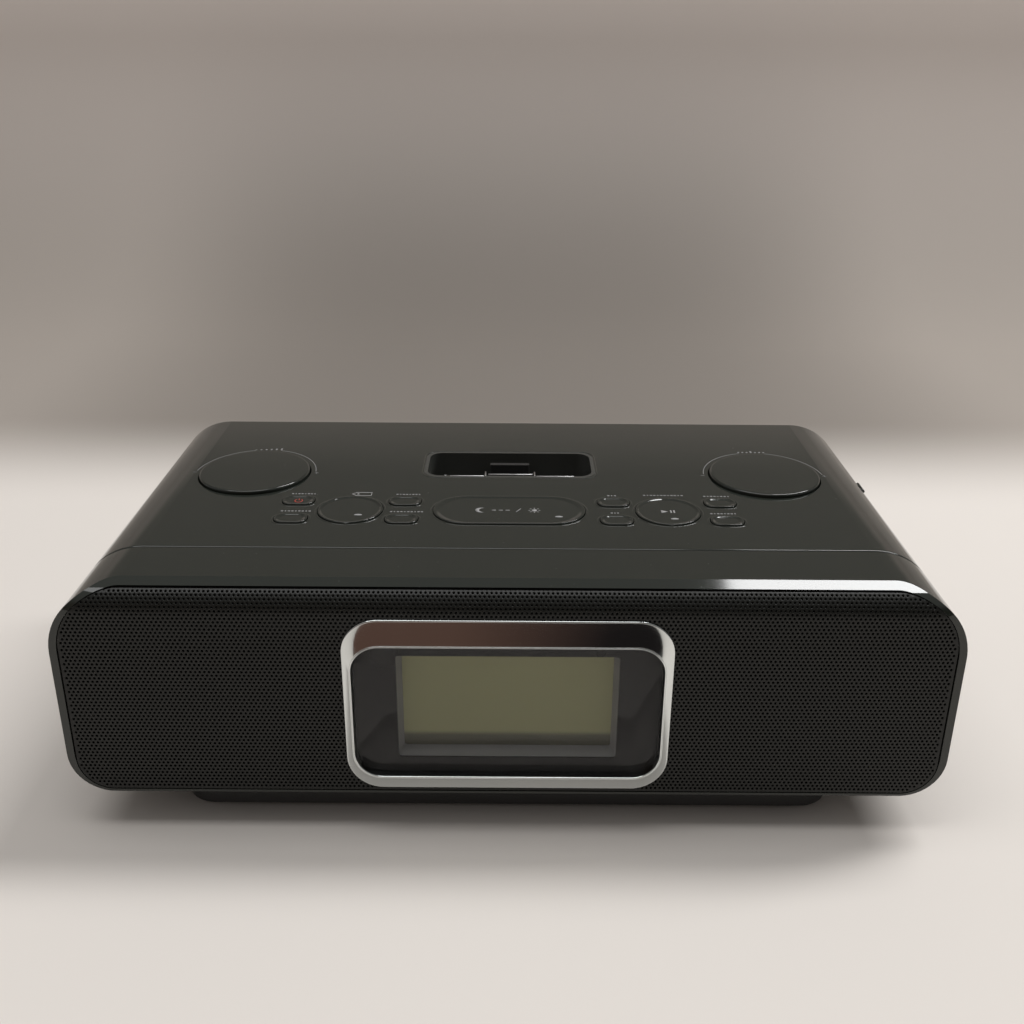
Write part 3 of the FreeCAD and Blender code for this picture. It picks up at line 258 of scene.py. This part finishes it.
def chrome_trim():
    """Bright plating with faint hazing."""
    n = Nodes("chrome_trim")
    haze = n.noise(35, 4)
    n.set(Base_Color=n.mix(haze, (0.70, 0.73, 0.72, 1), (0.78, 0.81, 0.80, 1)), Metallic=1.0,
          Roughness=0.05 + haze * 0.06)
    return n.material


def lens_clear():
    """Clear window, thin enough to show what lies behind."""
    n = Nodes("lens_clear")
    n.set(Base_Color=grey(0.01), Roughness=0.04, Alpha=0.16, IOR=1.5)
    return n.material


def lens_black():
    """Black print on the back of the window."""
    n = Nodes("lens_black")
    n.set(Base_Color=n.mix(n.noise(60, 2), grey(0.012), grey(0.016)), Roughness=0.12)
    return n.material


def frame_grey():
    """Grey bevelled frame round the screen."""
    n = Nodes("frame_grey")
    n.set(Base_Color=n.mix(n.noise(90, 2), grey(0.32), grey(0.37)),
          Roughness=0.38 + n.noise(200, 2) * 0.1)
    return n.material


def lcd_glass():
    """Unlit liquid crystal: olive grey, with painted shade darkening it along its lower edge."""
    n = Nodes("lcd_glass")
    cloud = n.noise(22, 2)
    glass = n.mix(cloud, (0.430, 0.435, 0.240, 1), (0.485, 0.490, 0.270, 1))
    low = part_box("lcd_panel")[0].z
    # painted shade: the lowest few millimetres of the liquid crystal are darkened, standing in for
    # the shadow along the window's lower edge
    painted_shade_band = n.axes()[2].above(low + 9.0 * MM, 2.6 * MM).eased()
    n.set(Base_Color=n.mix(painted_shade_band, (0.15, 0.15, 0.11, 1), glass), Roughness=0.22)
    return n.material


def plain(name, colour, roughness, metallic=0.0):
    """A plain finish with slight mottling in its colour and gloss."""
    n = Nodes(name)
    cloud = n.noise(200, 3)
    dark = tuple(c * (1 - 0.15) for c in colour[:3]) + (1,)
    n.set(Base_Color=n.mix(cloud, dark, colour), Metallic=metallic,
          Roughness=roughness + cloud * 0.1)
    return n.material


MATERIALS = {
    "gloss_black": gloss_black(),
    "satin_black": satin_black(),
    "grille_black": grille_black(),
    "chrome_trim": chrome_trim(),
    "lens_clear": lens_clear(),
    "lens_black": lens_black(),
    "frame_grey": frame_grey(),
    "lcd_glass": lcd_glass(),
    "light_guide": plain("light_guide", grey(0.8), 0.4),
    "circuit_board": plain("circuit_board", (0.02, 0.12, 0.05, 1), 0.35),
    "foot_rubber": plain("foot_rubber", grey(0.02), 0.7),
    "steel": plain("steel", grey(0.5), 0.3, 1.0),
    "magnet_grey": plain("magnet_grey", grey(0.08), 0.5),
    "cone_paper": plain("cone_paper", grey(0.03), 0.85),
    "heat_sink": plain("heat_sink", grey(0.6), 0.35, 1.0),
    "part_black": plain("part_black", grey(0.03), 0.45),
    "cell_wrap": plain("cell_wrap", grey(0.2), 0.35),
    "print_grey": plain("print_grey", grey(0.36), 0.5),
    "print_dim": plain("print_dim", grey(0.24), 0.5),
    "dock_black": plain("dock_black", (0.05, 0.052, 0.047, 1), 0.3),
    "print_red": plain("print_red", (0.42, 0.045, 0.03, 1), 0.45),
}


def dress_nodes():
    """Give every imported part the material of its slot."""
    slots = {row["node"]: row["material_slot"] for row in frame["record"]["subparts"]}
    slots["dock_well"] = "dock_black"
    for name, part in frame["nodes"].items():
        part.data.materials.clear()
        part.data.materials.append(MATERIALS[slots[name]])


# ---------------------------------------------------------------- mesh making
def make_piece(name, surfaces, slot, body=ROOT):
    """A mesh object from surfaces, each an array of points and a list of face arrays."""
    mesh = bpy.data.meshes.new(name)
    points, faces, start = [], [], 0
    for own_points, own_faces in surfaces:
        own_points = np.asarray(own_points, float).reshape(-1, 3)
        points.append(own_points)
        faces += [np.asarray(group, int) + start for group in own_faces]
        start += len(own_points)
    points = np.concatenate(points)
    corners = np.concatenate([group.ravel() for group in faces])
    counts = np.concatenate([np.full(len(group), group.shape[1]) for group in faces])
    mesh.vertices.add(len(points))
    mesh.vertices.foreach_set("co", points.ravel())
    mesh.loops.add(len(corners))
    mesh.loops.foreach_set("vertex_index", corners)
    mesh.polygons.add(len(counts))
    mesh.polygons.foreach_set("loop_start", np.cumsum(counts) - counts)
    mesh.polygons.foreach_set("use_smooth", np.full(len(counts), True))
    mesh.update(calc_edges=True)
    mesh.validate()
    mesh.materials.append(MATERIALS[slot])
    piece = bpy.data.objects.new(name, mesh)
    bpy.context.collection.objects.link(piece)
    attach(piece, body)
    return piece


def grid_faces(rows, columns, round_=True):
    """Faces of a grid of points in rows, each row closed into a ring if round_."""
    row = np.arange(rows - 1)[:, None] * columns
    column = np.arange(columns if round_ else columns - 1)[None, :]
    after = (column + 1) % columns
    corners = row + column, row + after, row + columns + after, row + columns + column
    return np.stack([np.broadcast_to(c, (rows - 1, column.size)) for c in corners],
                    -1).reshape(-1, 4)


def skin(rows, first_cap=False, last_cap=False):
    """Surface through rings of points, with a flat face over its first or last ring."""
    rows = np.asarray(rows, float)
    count, columns = rows.shape[:2]
    faces = [grid_faces(count, columns)]
    if first_cap:
        faces.append(np.arange(columns)[None, ::-1])
    if last_cap:
        faces.append((count - 1) * columns + np.arange(columns)[None, :])
    return rows.reshape(-1, 3), faces


def mark(path, width, place):
    """A printed line through points x, y; place lifts it into space."""
    path = np.asarray(path, float)
    along = np.gradient(path, axis=0)
    along /= np.linalg.norm(along, axis=1, keepdims=True)
    side = np.stack([-along[:, 1], along[:, 0]], -1) * width / 2
    low = [place(*(path + shift).T, 0.0) for shift in (side, -side)]
    high = [place(*(path + shift).T, PRINT_THICK) for shift in (side, -side)]
    return skin(np.stack([low[0], low[1], high[1], high[0]], 1), True, True)


def plaque(outline, place):
    """A printed shape with a closed outline of x, y, anticlockwise."""
    outline = np.asarray(outline, float)
    rows = [place(*outline.T, height) for height in (0.0, PRINT_THICK)]
    return skin(rows, last_cap=True)


def on_front(x, v, w):
    """Points on the leaning front: x across, v up along it, w out of it."""
    lean, tilt = math.sin(FRONT_LEAN), math.cos(FRONT_LEAN)
    y = FRONT_LOW.y + v * lean - w * tilt
    z = FRONT_LOW.z + v * tilt + w * lean
    return np.stack(np.broadcast_arrays(x, y, z), -1)


def rounded_outline(width, tall, corner, per_corner=12, mid=(0.0, 0.0), grow=0.0):
    """Points round a rounded rectangle: each corner is an arc of per_corner + 1 points.

    corner is one radius, or (upper, lower). grow moves the outline outwards.
    """
    upper, lower = (corner, corner) if np.isscalar(corner) else corner
    angles = np.linspace(0, math.pi / 2, per_corner + 1)
    parts = []
    for index, (i, j) in enumerate(((1, 1), (-1, 1), (-1, -1), (1, -1))):
        radius = upper if j > 0 else lower
        centre = np.array([i * (width / 2 - radius), j * (tall / 2 - radius)])
        turn = angles + index * math.pi / 2
        parts.append(centre + (radius + grow) * np.stack([np.cos(turn), np.sin(turn)], -1))
    return np.concatenate(parts) + np.array(mid)


# ---------------------------------------------------------------- the grille
def into_outline(x, v, grow=0.0):
    """Move points that lie outside the grille's rounded outline onto it."""
    top = BROW_START + BROW_RADIUS * math.sin(BROW_SWEEP)
    middle = (GRILLE_LOW + top) / 2
    corner = np.where(v > middle, GRILLE_TOP_CORNER, GRILLE_LOW_CORNER) + grow
    half = GRILLE_HALF + grow
    centre_x = np.clip(x, -half + corner, half - corner)
    centre_v = np.clip(v, GRILLE_LOW - grow + corner, top + grow - corner)
    away_x, away_v = x - centre_x, v - centre_v
    far = np.hypot(away_x, away_v)
    keep = np.minimum(1.0, corner / np.maximum(far, 1e-12))
    return centre_x + away_x * keep, centre_v + away_v * keep


def outside_outline(x, v, grow):
    """Whether points lie outside the grille's outline grown by grow."""
    new_x, new_v = into_outline(x, v, grow)
    return np.hypot(x - new_x, v - new_v) > 1e-7


def inside_bezel(x, v, grow):
    """Whether points lie inside the ring's outline grown by grow."""
    corner = BEZEL["corner"]
    mid = BEZEL["low"] + BEZEL["tall"] / 2
    dx = np.maximum(np.abs(x) - (BEZEL["width"] / 2 - corner), 0)
    dv = np.maximum(np.abs(v - mid) - (BEZEL["tall"] / 2 - corner), 0)
    return np.hypot(dx, dv) < corner + grow


def rise(s):
    """Height v up the front of a point s along the sheet, round its brow."""
    turn = np.clip((s - BROW_START) / BROW_RADIUS, 0, BROW_SWEEP)
    return np.where(s > BROW_START, BROW_START + BROW_RADIUS * np.sin(turn), s)


def retreat(v):
    """Depth behind the front plane of the sheet at height v, on its brow."""
    over = np.clip((v - BROW_START) / BROW_RADIUS, 0, math.sin(BROW_SWEEP))
    return BROW_RADIUS * (1 - np.sqrt(1 - over ** 2))


def cell_rings(centre_x, centre_s, radii):
    """Rings of points about many centres: (centres, rings, HOLE_SIDES) x and s.

    A radius of None stands for the six-sided cell, whose outline passes through
    its corners at odd multiples of 30 degrees and its edges' middles between.
    """
    turn = np.arange(HOLE_SIDES) * (2 * math.pi / HOLE_SIDES)
    flat = HOLE_PITCH / 2
    hexagon = flat / np.cos((turn + math.pi / 6) % (math.pi / 3) - math.pi / 6)
    reach = np.stack([hexagon if r is None else np.full(HOLE_SIDES, r) for r in radii])
    x = centre_x[:, None, None] + reach * np.cos(turn)
    s = centre_s[:, None, None] + reach * np.sin(turn)
    return x, s


def make_grille():
    """Perforated sheet: six-sided cells, each with a round hole, rolled over the brow.

    A cell near an edge has no hole. Rings of a cell run from its outline over the
    hole's rounded edge to the sheet's back.
    """
    step = HOLE_PITCH * math.sqrt(3) / 2
    length = BROW_START + BROW_RADIUS * BROW_SWEEP
    rows = np.arange(-1, int(length / step) + 2)
    columns = np.arange(-int(GRILLE_HALF / HOLE_PITCH) - 2, int(GRILLE_HALF / HOLE_PITCH) + 3)
    cs, cx = np.meshgrid(rows * step + GRILLE_LOW, columns * HOLE_PITCH, indexing="ij")
    cx = cx + (rows[:, None] % 2) * HOLE_PITCH / 2
    cx, cs = cx.ravel(), cs.ravel()
    cv = rise(cs)
    keep = ~outside_outline(cx, cv, HOLE_PITCH * 0.7) & (cs < length + step)
    keep &= ~inside_bezel(cx, cv, -CELL_UNDER_BEZEL)
    cx, cs, cv = cx[keep], cs[keep], cv[keep]
    even = np.where(cs > BROW_START, BROW_START + (cs - BROW_START) * math.sin(BROW_SWEEP)
                    / BROW_SWEEP, cs)
    bare = outside_outline(cx, even, -PLAIN_MARGIN)
    quarter = np.floor((cx / GRILLE_HALF + 1) * 2).clip(0, 3)
    for tile in range(4):
        surfaces = []
        for chosen, radii, depths in (
                (~bare, (None, HOLE_RADIUS + HOLE_EDGE, HOLE_RADIUS + 0.3 * HOLE_EDGE,
                         HOLE_RADIUS, HOLE_RADIUS), (0, 0, 0.3, 1, GRILLE_SHEET / HOLE_EDGE)),
                (bare, (None, HOLE_RADIUS), (0, 0))):
            part = (quarter == tile) & chosen
            x, s = cell_rings(cx[part], cs[part], radii)
            w = -HOLE_EDGE * np.array(depths)[None, :, None] + 0 * x
            size = len(radii) * HOLE_SIDES
            starts = np.arange(len(x))[:, None, None] * size
            faces = [(grid_faces(len(radii), HOLE_SIDES)[None] + starts).reshape(-1, 4)]
            if chosen is bare:
                faces.append(starts[:, :, 0] + HOLE_SIDES + np.arange(HOLE_SIDES)[None, :])
            surfaces.append((sheet_points(x, s, w), faces))
        piece = make_piece(f"grille_sheet_{tile + 1}", surfaces, "grille_black")
        if tile == 0:
            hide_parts("grille")


def sheet_points(x, s, w):
    """Points of the sheet, w out of its own surface."""
    x, v = into_outline(x, rise(s))
    back = retreat(v)
    tilt = np.arcsin(np.clip((v - BROW_START) / BROW_RADIUS, 0, 1))
    return on_front(x, v + w * np.sin(tilt), -back + w * np.cos(tilt))


# ---------------------------------------------------------------- the display's ring
def make_bezel():
    """Plated ring swept between two rounded rectangles of equally many points.

    Its section is a list of (share, inset, w): a point lies on the outer outline
    (share 0) or the inner one (share 1), moved inwards by inset, at height w.
    """
    turn = np.linspace(0, math.pi / 2, 6)
    outer_low, inner_low = 0.75 * MM, BEZEL_PROUD
    section = [(0, 0, BEZEL_FOOT)]
    section += [(0, LIP * (1 - math.cos(t)), outer_low + LIP * (math.sin(t) - 1) * 0.8)
                for t in turn]
    section += [(0, LIP + 0.05 * MM, outer_low + 0.01 * MM),
                (1, -LIP - 0.15 * MM, inner_low - 0.2 * MM),
                (1, -LIP - 0.1 * MM, inner_low - 0.17 * MM)]
    section += [(1, -LIP * math.cos(t), inner_low - LIP * (1 - math.sin(t)) * 0.9)
                for t in turn]
    section += [(1, 0, inner_low - 0.8 * MM), (1, 0, BEZEL_FOOT)]
    rows = []
    for share, inset, w in section:
        shape = SCREEN if share else BEZEL
        x, v = rounded_outline(shape["width"], shape["tall"], shape["corner"], 16,
                               (0.0, shape["low"] + shape["tall"] / 2), -inset).T
        rows.append(on_front(x, v, w))
    piece = make_piece("display_ring", [skin(rows)], "chrome_trim")
    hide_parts("display_bezel")


# ---------------------------------------------------------------- keys
def on_top(x, y, height):
    """Points over the cabinet's top: x across, y behind the front's foot."""
    x, y, z = np.broadcast_arrays(x, FRONT_LOW.y + y, TOP + height)
    return np.stack([x, y, z], -1)


def make_keys():
    """Caps like shallow pans, swept from their foot over a round rim into a floor.

    Outside the rim's crest a ring is the outline moved inwards; inside it the ring
    before is drawn towards the middle by a share. Three floors carry a small nib of
    light grey, a painted highlight standing in for the lamp's glint there.
    """
    turn = np.linspace(0, math.pi / 2, 5)
    for name, (x, y, shape) in KEY_PLACES.items():
        middle = np.array([x, y]) * MM
        sides = [(0.0, KEY_FOOT)]
        sides += [(KEY_EDGE * (1 - math.cos(t)), KEY_PROUD - KEY_EDGE * (1 - math.sin(t)))
                  for t in turn]
        sides += [(KEY_EDGE + 0.12 * MM, KEY_PROUD)]
        outline = [rounded_outline(shape["width"], shape["tall"], shape["corner"], 12,
                                   middle, -inset) for inset, _ in sides]
        rows = [on_top(*ring.T, height) for ring, (_, height) in zip(outline, sides)]
        reach = shape["tall"] / 2
        for far in (0.25, 0.5, 0.75, 1.0, 1.3, 1.7):
            share = 1 - far * MM / reach
            fall = PAN_DEPTH * (1 - math.cos(min(far / 1.1, 1.0) * math.pi)) / 2
            ring = middle + (outline[-1] - middle) * share
            rows.append(on_top(*ring.T, KEY_PROUD - fall))
        for share in (0.5, 0.3, 0.15, 0.03):
            ring = middle + (outline[-1] - middle) * share
            rows.append(on_top(*ring.T, KEY_PROUD - PAN_DEPTH))
        piece = make_piece(f"{name}_cap", [skin(rows, True, True)], "gloss_black", name)
        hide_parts(name)
        # painted highlight: a light grey nib where the lamp glints on the key's floor
        if name in GLINT_NIBS:
            painted_glint = nib(middle + np.array(GLINT_NIBS[name]) * MM)
            make_piece(f"{name}_nib", [painted_glint], "print_grey", name)


def nib(middle):
    """Upper half of an ellipsoid over middle: ellipses that shrink by cos t, up by sin t."""
    turn = np.linspace(0, 2 * math.pi, 24, endpoint=False)
    rows = []
    for t in np.linspace(-0.2, 1.5, 8):
        ellipse = np.stack([NIB["long"] * np.cos(turn), NIB["wide"] * np.sin(turn)], -1)
        ring = middle + math.cos(t) * ellipse
        rows.append(on_top(*ring.T, KEY_PROUD - PAN_DEPTH + NIB["tall"] * math.sin(t)))
    return skin(rows, True, True)


def make_dock_trim():
    """Rounded lip round the dock's opening and bright edges of the guard inside it.

    The lip is the opening's outline carried round a half circle from outside to
    inside. The guard's edges are rods along straight runs, given with their height,
    in millimetres.
    """
    rows = []
    for t in np.linspace(0, math.pi, 9):
        grow = DOCK_LIP["reach"] - DOCK_LIP["width"] / 2 * (1 - math.cos(t))
        ring = rounded_outline(DOCK["width"], DOCK["tall"], DOCK["corner"], 12,
                               (0.0, DOCK_Y * MM), grow)
        rows.append(on_top(*ring.T, DOCK_LIP["height"] * math.sin(t) - SUNK))
    make_piece("dock_lip", [skin(rows)], "gloss_black")
    runs = (((-24.3, 100.7), (-10.4, 100.7), 0.02), ((-9.9, 100.8), (-9.9, 106.2), -0.35),
            ((-8.8, 103.6), (9.4, 103.6), -0.42), ((10.2, 100.8), (10.2, 106.2), -0.35),
            ((10.8, 100.7), (26.2, 100.7), 0.02), ((-26.6, 101.2), (-25.7, 101.2), 0.02))
    rods = [rod((begin, end), 0.32 * MM, height * MM) for begin, end, height in runs]
    make_piece("dock_guard_edges", rods, "steel")
    walls = [rod((begin, end), 0.45 * MM, (height - 0.8) * MM, 1.0 * MM)
             for begin, end, height in runs]
    make_piece("dock_guard", walls, "dock_black")


def rod(run, radius, height, deep=0.0):
    """Closed bar along a straight run of x, y: a circle, its lower half let down by deep."""
    run = np.asarray(run, float) * MM
    along = (run[1] - run[0]) / np.linalg.norm(run[1] - run[0])
    side = np.array([-along[1], along[0]])
    turn = np.linspace(0, 2 * math.pi, 16, endpoint=False)
    drop = np.where(np.sin(turn) < -0.01, deep, 0.0)
    rows = []
    for end, shrink in ((run[0], 0.5), (run[0] + along * radius * 0.4, 1.0),
                        (run[1] - along * radius * 0.4, 1.0), (run[1], 0.5)):
        ring = end + side * (radius * shrink * np.cos(turn))[:, None]
        rows.append(on_top(*ring.T, height + radius * shrink * np.sin(turn) - drop))
    return skin(rows, True, True)


def make_key_rims():
    """Thin rounded lips round the key windows: the outline grown by a half-round."""
    turn = np.linspace(0, math.pi, 7)
    surfaces = []
    for x, y, shape in KEY_PLACES.values():
        rows = []
        for t in turn:
            grow = KEY_GAP + RIM_WIDTH / 2 * (1 - math.cos(t))
            ring = rounded_outline(shape["width"], shape["tall"], shape["corner"], 12,
                                   (x * MM, y * MM), grow)
            rows.append(on_top(*ring.T, RIM_HEIGHT * math.sin(t) - SUNK))
        surfaces.append(skin(rows[::-1]))
    make_piece("key_rims", surfaces, "gloss_black")


# ---------------------------------------------------------------- printed marks
def arc(x, y, radius, begin, end, count=24):
    """Points of an arc about x, y, angles in degrees."""
    turn = np.radians(np.linspace(begin, end, count))
    return np.stack([x + radius * np.cos(turn), y + radius * np.sin(turn)], -1)


def over_top(height):
    """A placing of printed marks at a height over the cabinet's top."""
    return lambda x, y, rise_: on_top(x * MM, y * MM, height + rise_)


def make_prints():
    """Marks on the top, in millimetres from the front's foot.

    An arc round the rear of each knob ends in a minus and a plus; it is broken by
    rising bars at the volume and by scale ticks at the tuning knob.
    """
    top = over_top(PRINT_LIFT)
    surfaces = []
    scales = (np.linspace(0.5, 2.2, 6), [1.1, 1.1, 1.1, 2.2, 1.1, 1.1, 1.1])
    for (x, y), scale, low in zip(KNOB_PLACES, scales, (26.2, 26.6)):
        for begin, end in ((5, 77), (103, 175)):
            path = arc(0, 0, 1, begin, end, 40) * KNOB_ARC + (x, y)
            surfaces.append(mark(path, KNOB_LINE, top))
        minus, plus = x - KNOB_SIGN_X, x + KNOB_SIGN_X
        for sign in (minus, plus):
            surfaces.append(mark([(sign - 0.8, y + 0.8), (sign + 0.8, y + 0.8)], KNOB_LINE, top))
        surfaces.append(mark([(plus, y - 0.1), (plus, y + 1.7)], KNOB_LINE, top))
        surfaces += [mark([(left, y + low), (left, y + low + tall)], 0.8, top)
                     for left, tall in zip(x + np.linspace(-5.4, 5.4, len(scale)), scale)]
    for name, (x, spread) in LABELS.items():
        y = KEY_PLACES[name][1] + LABEL_RISE
        surfaces += dashes(x, y, max(3, round(spread / LABEL_STEP)), spread, LABEL_TALL, top)
    x, y, _ = KEY_PLACES["play_key"]
    surfaces += dashes(x, y + 15.7, 12, 16.0, LABEL_TALL, top)
    make_piece("top_prints", surfaces, "print_dim")
    x, y, _ = KEY_PLACES["tag_key"]
    x, y = x + 2.6, y + 15.2
    tag = np.array([(-4.0, 0), (-2.2, 1.5), (3.6, 1.5), (3.6, -1.5), (-2.2, -1.5), (-4.0, 0)])
    make_piece("tag_print", [mark(tag + (x, y), 0.45, top),
                             plaque(arc(x - 1.6, y, 0.5, 0, 330, 12), top)], "print_grey")


def dashes(x, y, count, spread, tall, place):
    """A row of short upright bars about x, y, every third one narrow."""
    step = spread / count
    widths = step * np.where(np.arange(count) % 3 == 1, 0.45, 0.72)
    lefts = x - spread / 2 + step * (np.arange(count) + 0.5) - widths / 2
    return [mark([(left, y), (left + width, y)], tall, place)
            for left, width in zip(lefts, widths)]


def make_icons():
    """Icons on the floors of three keys, in millimetres from the front's foot.

    Power; play and pause; and a moon, dashes, a slash and a sun on the snooze bar.
    """
    floor = over_top(KEY_PROUD - PAN_DEPTH + PRINT_LIFT)
    x, y, _ = KEY_PLACES["power_key"]
    marks = [mark(arc(x, y - 0.1, 1.45, 125, 415), 0.4, floor),
             mark([(x, y + 0.3), (x, y + 1.9)], 0.4, floor)]
    make_piece("power_icon", marks, "print_red", "power_key")
    x, y, _ = KEY_PLACES["play_key"]
    marks = [plaque([(x - 2.6, y - 1.2), (x, y + 0.1), (x - 2.6, y + 1.4)], floor)]
    marks += [mark([(bar, y - 1.1), (bar, y + 1.3)], 0.6, floor) for bar in (x + 1.1, x + 2.3)]
    make_piece("play_icon", marks, "print_grey", "play_key")
    x, y, _ = KEY_PLACES["snooze_bar"]
    moon = np.concatenate([arc(x - 10.6, y, 2.2, 60, 300), arc(x - 9.5, y, 1.9, 270, 90)])
    sun_x = x + 9.5
    rays = [mark([(sun_x + far * math.cos(t), y + far * math.sin(t)) for far in (1.5, 2.3)],
                 0.35, floor) for t in np.arange(8) * math.pi / 4]
    disc = plaque(arc(sun_x, y, 1.0, 0, 345, 24), floor)
    slash = mark([(x + 2.6, y - 1.6), (x + 4.4, y + 1.6)], 0.35, floor)
    lines = [mark([(left, y), (left + 1.6, y)], 0.5, floor) for left in (x - 6.6, x - 4.0, x - 1.4)]
    make_piece("snooze_icons", [plaque(moon, floor), disc, slash, *lines, *rays], "print_grey",
               "snooze_bar")


# ---------------------------------------------------------------- stage, light and camera
def make_stage():
    """Pale floor that turns soft grey behind the object and sweeps up into a wall; painted shade
    makes the grey darker in the middle behind the object than at the sides.
    """
    n = Nodes("stage")
    n.shader.inputs["Specular IOR Level"].default_value = 0.1
    x, y, z = n.axes()
    behind = y.above(FRONT_LOW.y + 0.362, 0.16).eased()
    # painted shade: the backdrop darker in the middle and paler towards the sides, standing in for
    # the lamps' light falling off
    side = (x * x / 0.16).clamped().eased()
    low = n.mix(side, (0.225, 0.203, 0.182, 1), (0.38, 0.342, 0.308, 1))
    wall = n.mix((z / 0.38).clamped().eased(), low, (0.85, 0.78, 0.73, 1))
    wall = n.mix(z.above(0.37, 0.08), wall, (0.40, 0.375, 0.35, 1))
    n.set(Base_Color=n.mix(behind, (0.78, 0.735, 0.69, 1), wall), Roughness=0.7)
    bend, far, front = 0.25, 0.55, -1.6
    turn = np.linspace(0, math.pi / 2, 24)
    profile_y = np.concatenate([[front], far + bend * np.sin(turn), [far + bend]])
    profile_z = np.concatenate([[0.0], bend * (1 - np.cos(turn)), [1.6]])
    xs = np.array([-2.0, 2.0])
    points = np.stack([np.broadcast_to(xs, (len(profile_y), 2)),
                       np.repeat(profile_y[:, None], 2, 1),
                       np.repeat(profile_z[:, None], 2, 1)], -1)
    mesh = bpy.data.meshes.new("stage")
    mesh.from_pydata(points.reshape(-1, 3).tolist(), [],
                     grid_faces(len(profile_y), 2, round_=False).tolist())
    mesh.polygons.foreach_set("use_smooth", np.full(len(mesh.polygons), True))
    mesh.materials.append(n.material)
    floor = bpy.data.objects.new("stage", mesh)
    bpy.context.collection.objects.link(floor)


def add_area(name, spot, aim, size, power):
    """A soft rectangular lamp at spot that faces aim below it."""
    data = bpy.data.lights.new(name, "AREA")
    data.shape = "RECTANGLE"
    data.size, data.size_y = size
    data.energy = power
    lamp = bpy.data.objects.new(name, data)
    lamp.location = spot
    across, along, down = np.array(aim) - np.array(spot)
    lamp.rotation_euler = math.atan(along / -down), math.atan(across / down), 0
    bpy.context.collection.objects.link(lamp)


def make_light():
    """A bright lamp to the right, a soft one overhead, in a room dim before the front.

    The dim part lies low towards -Y: brown on its left, nearly black on its right.
    """
    add_area("window", (1.34, 0.67, 2.2), (0.1, 0.1, 0), (1.65, 0.5), 44)
    add_area("ceiling", (-0.5, -0.15, 2.2), (-0.5, -0.15, 0), (1.8, 0.9), 15)
    n = Nodes("room", "worlds", "Background", "Generated")
    x, y, z = n.axes()
    dim = (0.0 - y).above(0.6, 0.4) * (1.0 - z.above(0.50, 0.3))
    shade = n.mix(x.above(0.02, 0.16), (0.30, 0.17, 0.13, 1), (0.035, 0.03, 0.03, 1))
    n.set(Color=n.mix(dim, (0.95, 0.93, 0.91, 1), shade), Strength=0.31)
    bpy.context.scene.world = n.material


def make_camera():
    """Camera before and above the front, a little turned about its own axis."""
    data = bpy.data.cameras.new("camera")
    data.sensor_width = 36.0
    data.lens = 37.8
    data.clip_start = 0.01
    camera = bpy.data.objects.new("camera", data)
    camera.location = (0.00107, FRONT_LOW.y - 0.30403, 0.26092)
    turn = Matrix.Rotation(math.radians(90 - 24.27), 4, "X") @ Matrix.Rotation(0.0066, 4, "Z")
    camera.rotation_euler = turn.to_euler()
    bpy.context.collection.objects.link(camera)
    bpy.context.scene.camera = camera


dress_nodes()
make_grille()
make_bezel()
make_keys()
make_key_rims()
make_dock_trim()
make_prints()
make_icons()
make_stage()
make_light()
make_camera()
bpy.context.scene.view_settings.view_transform = "Standard"
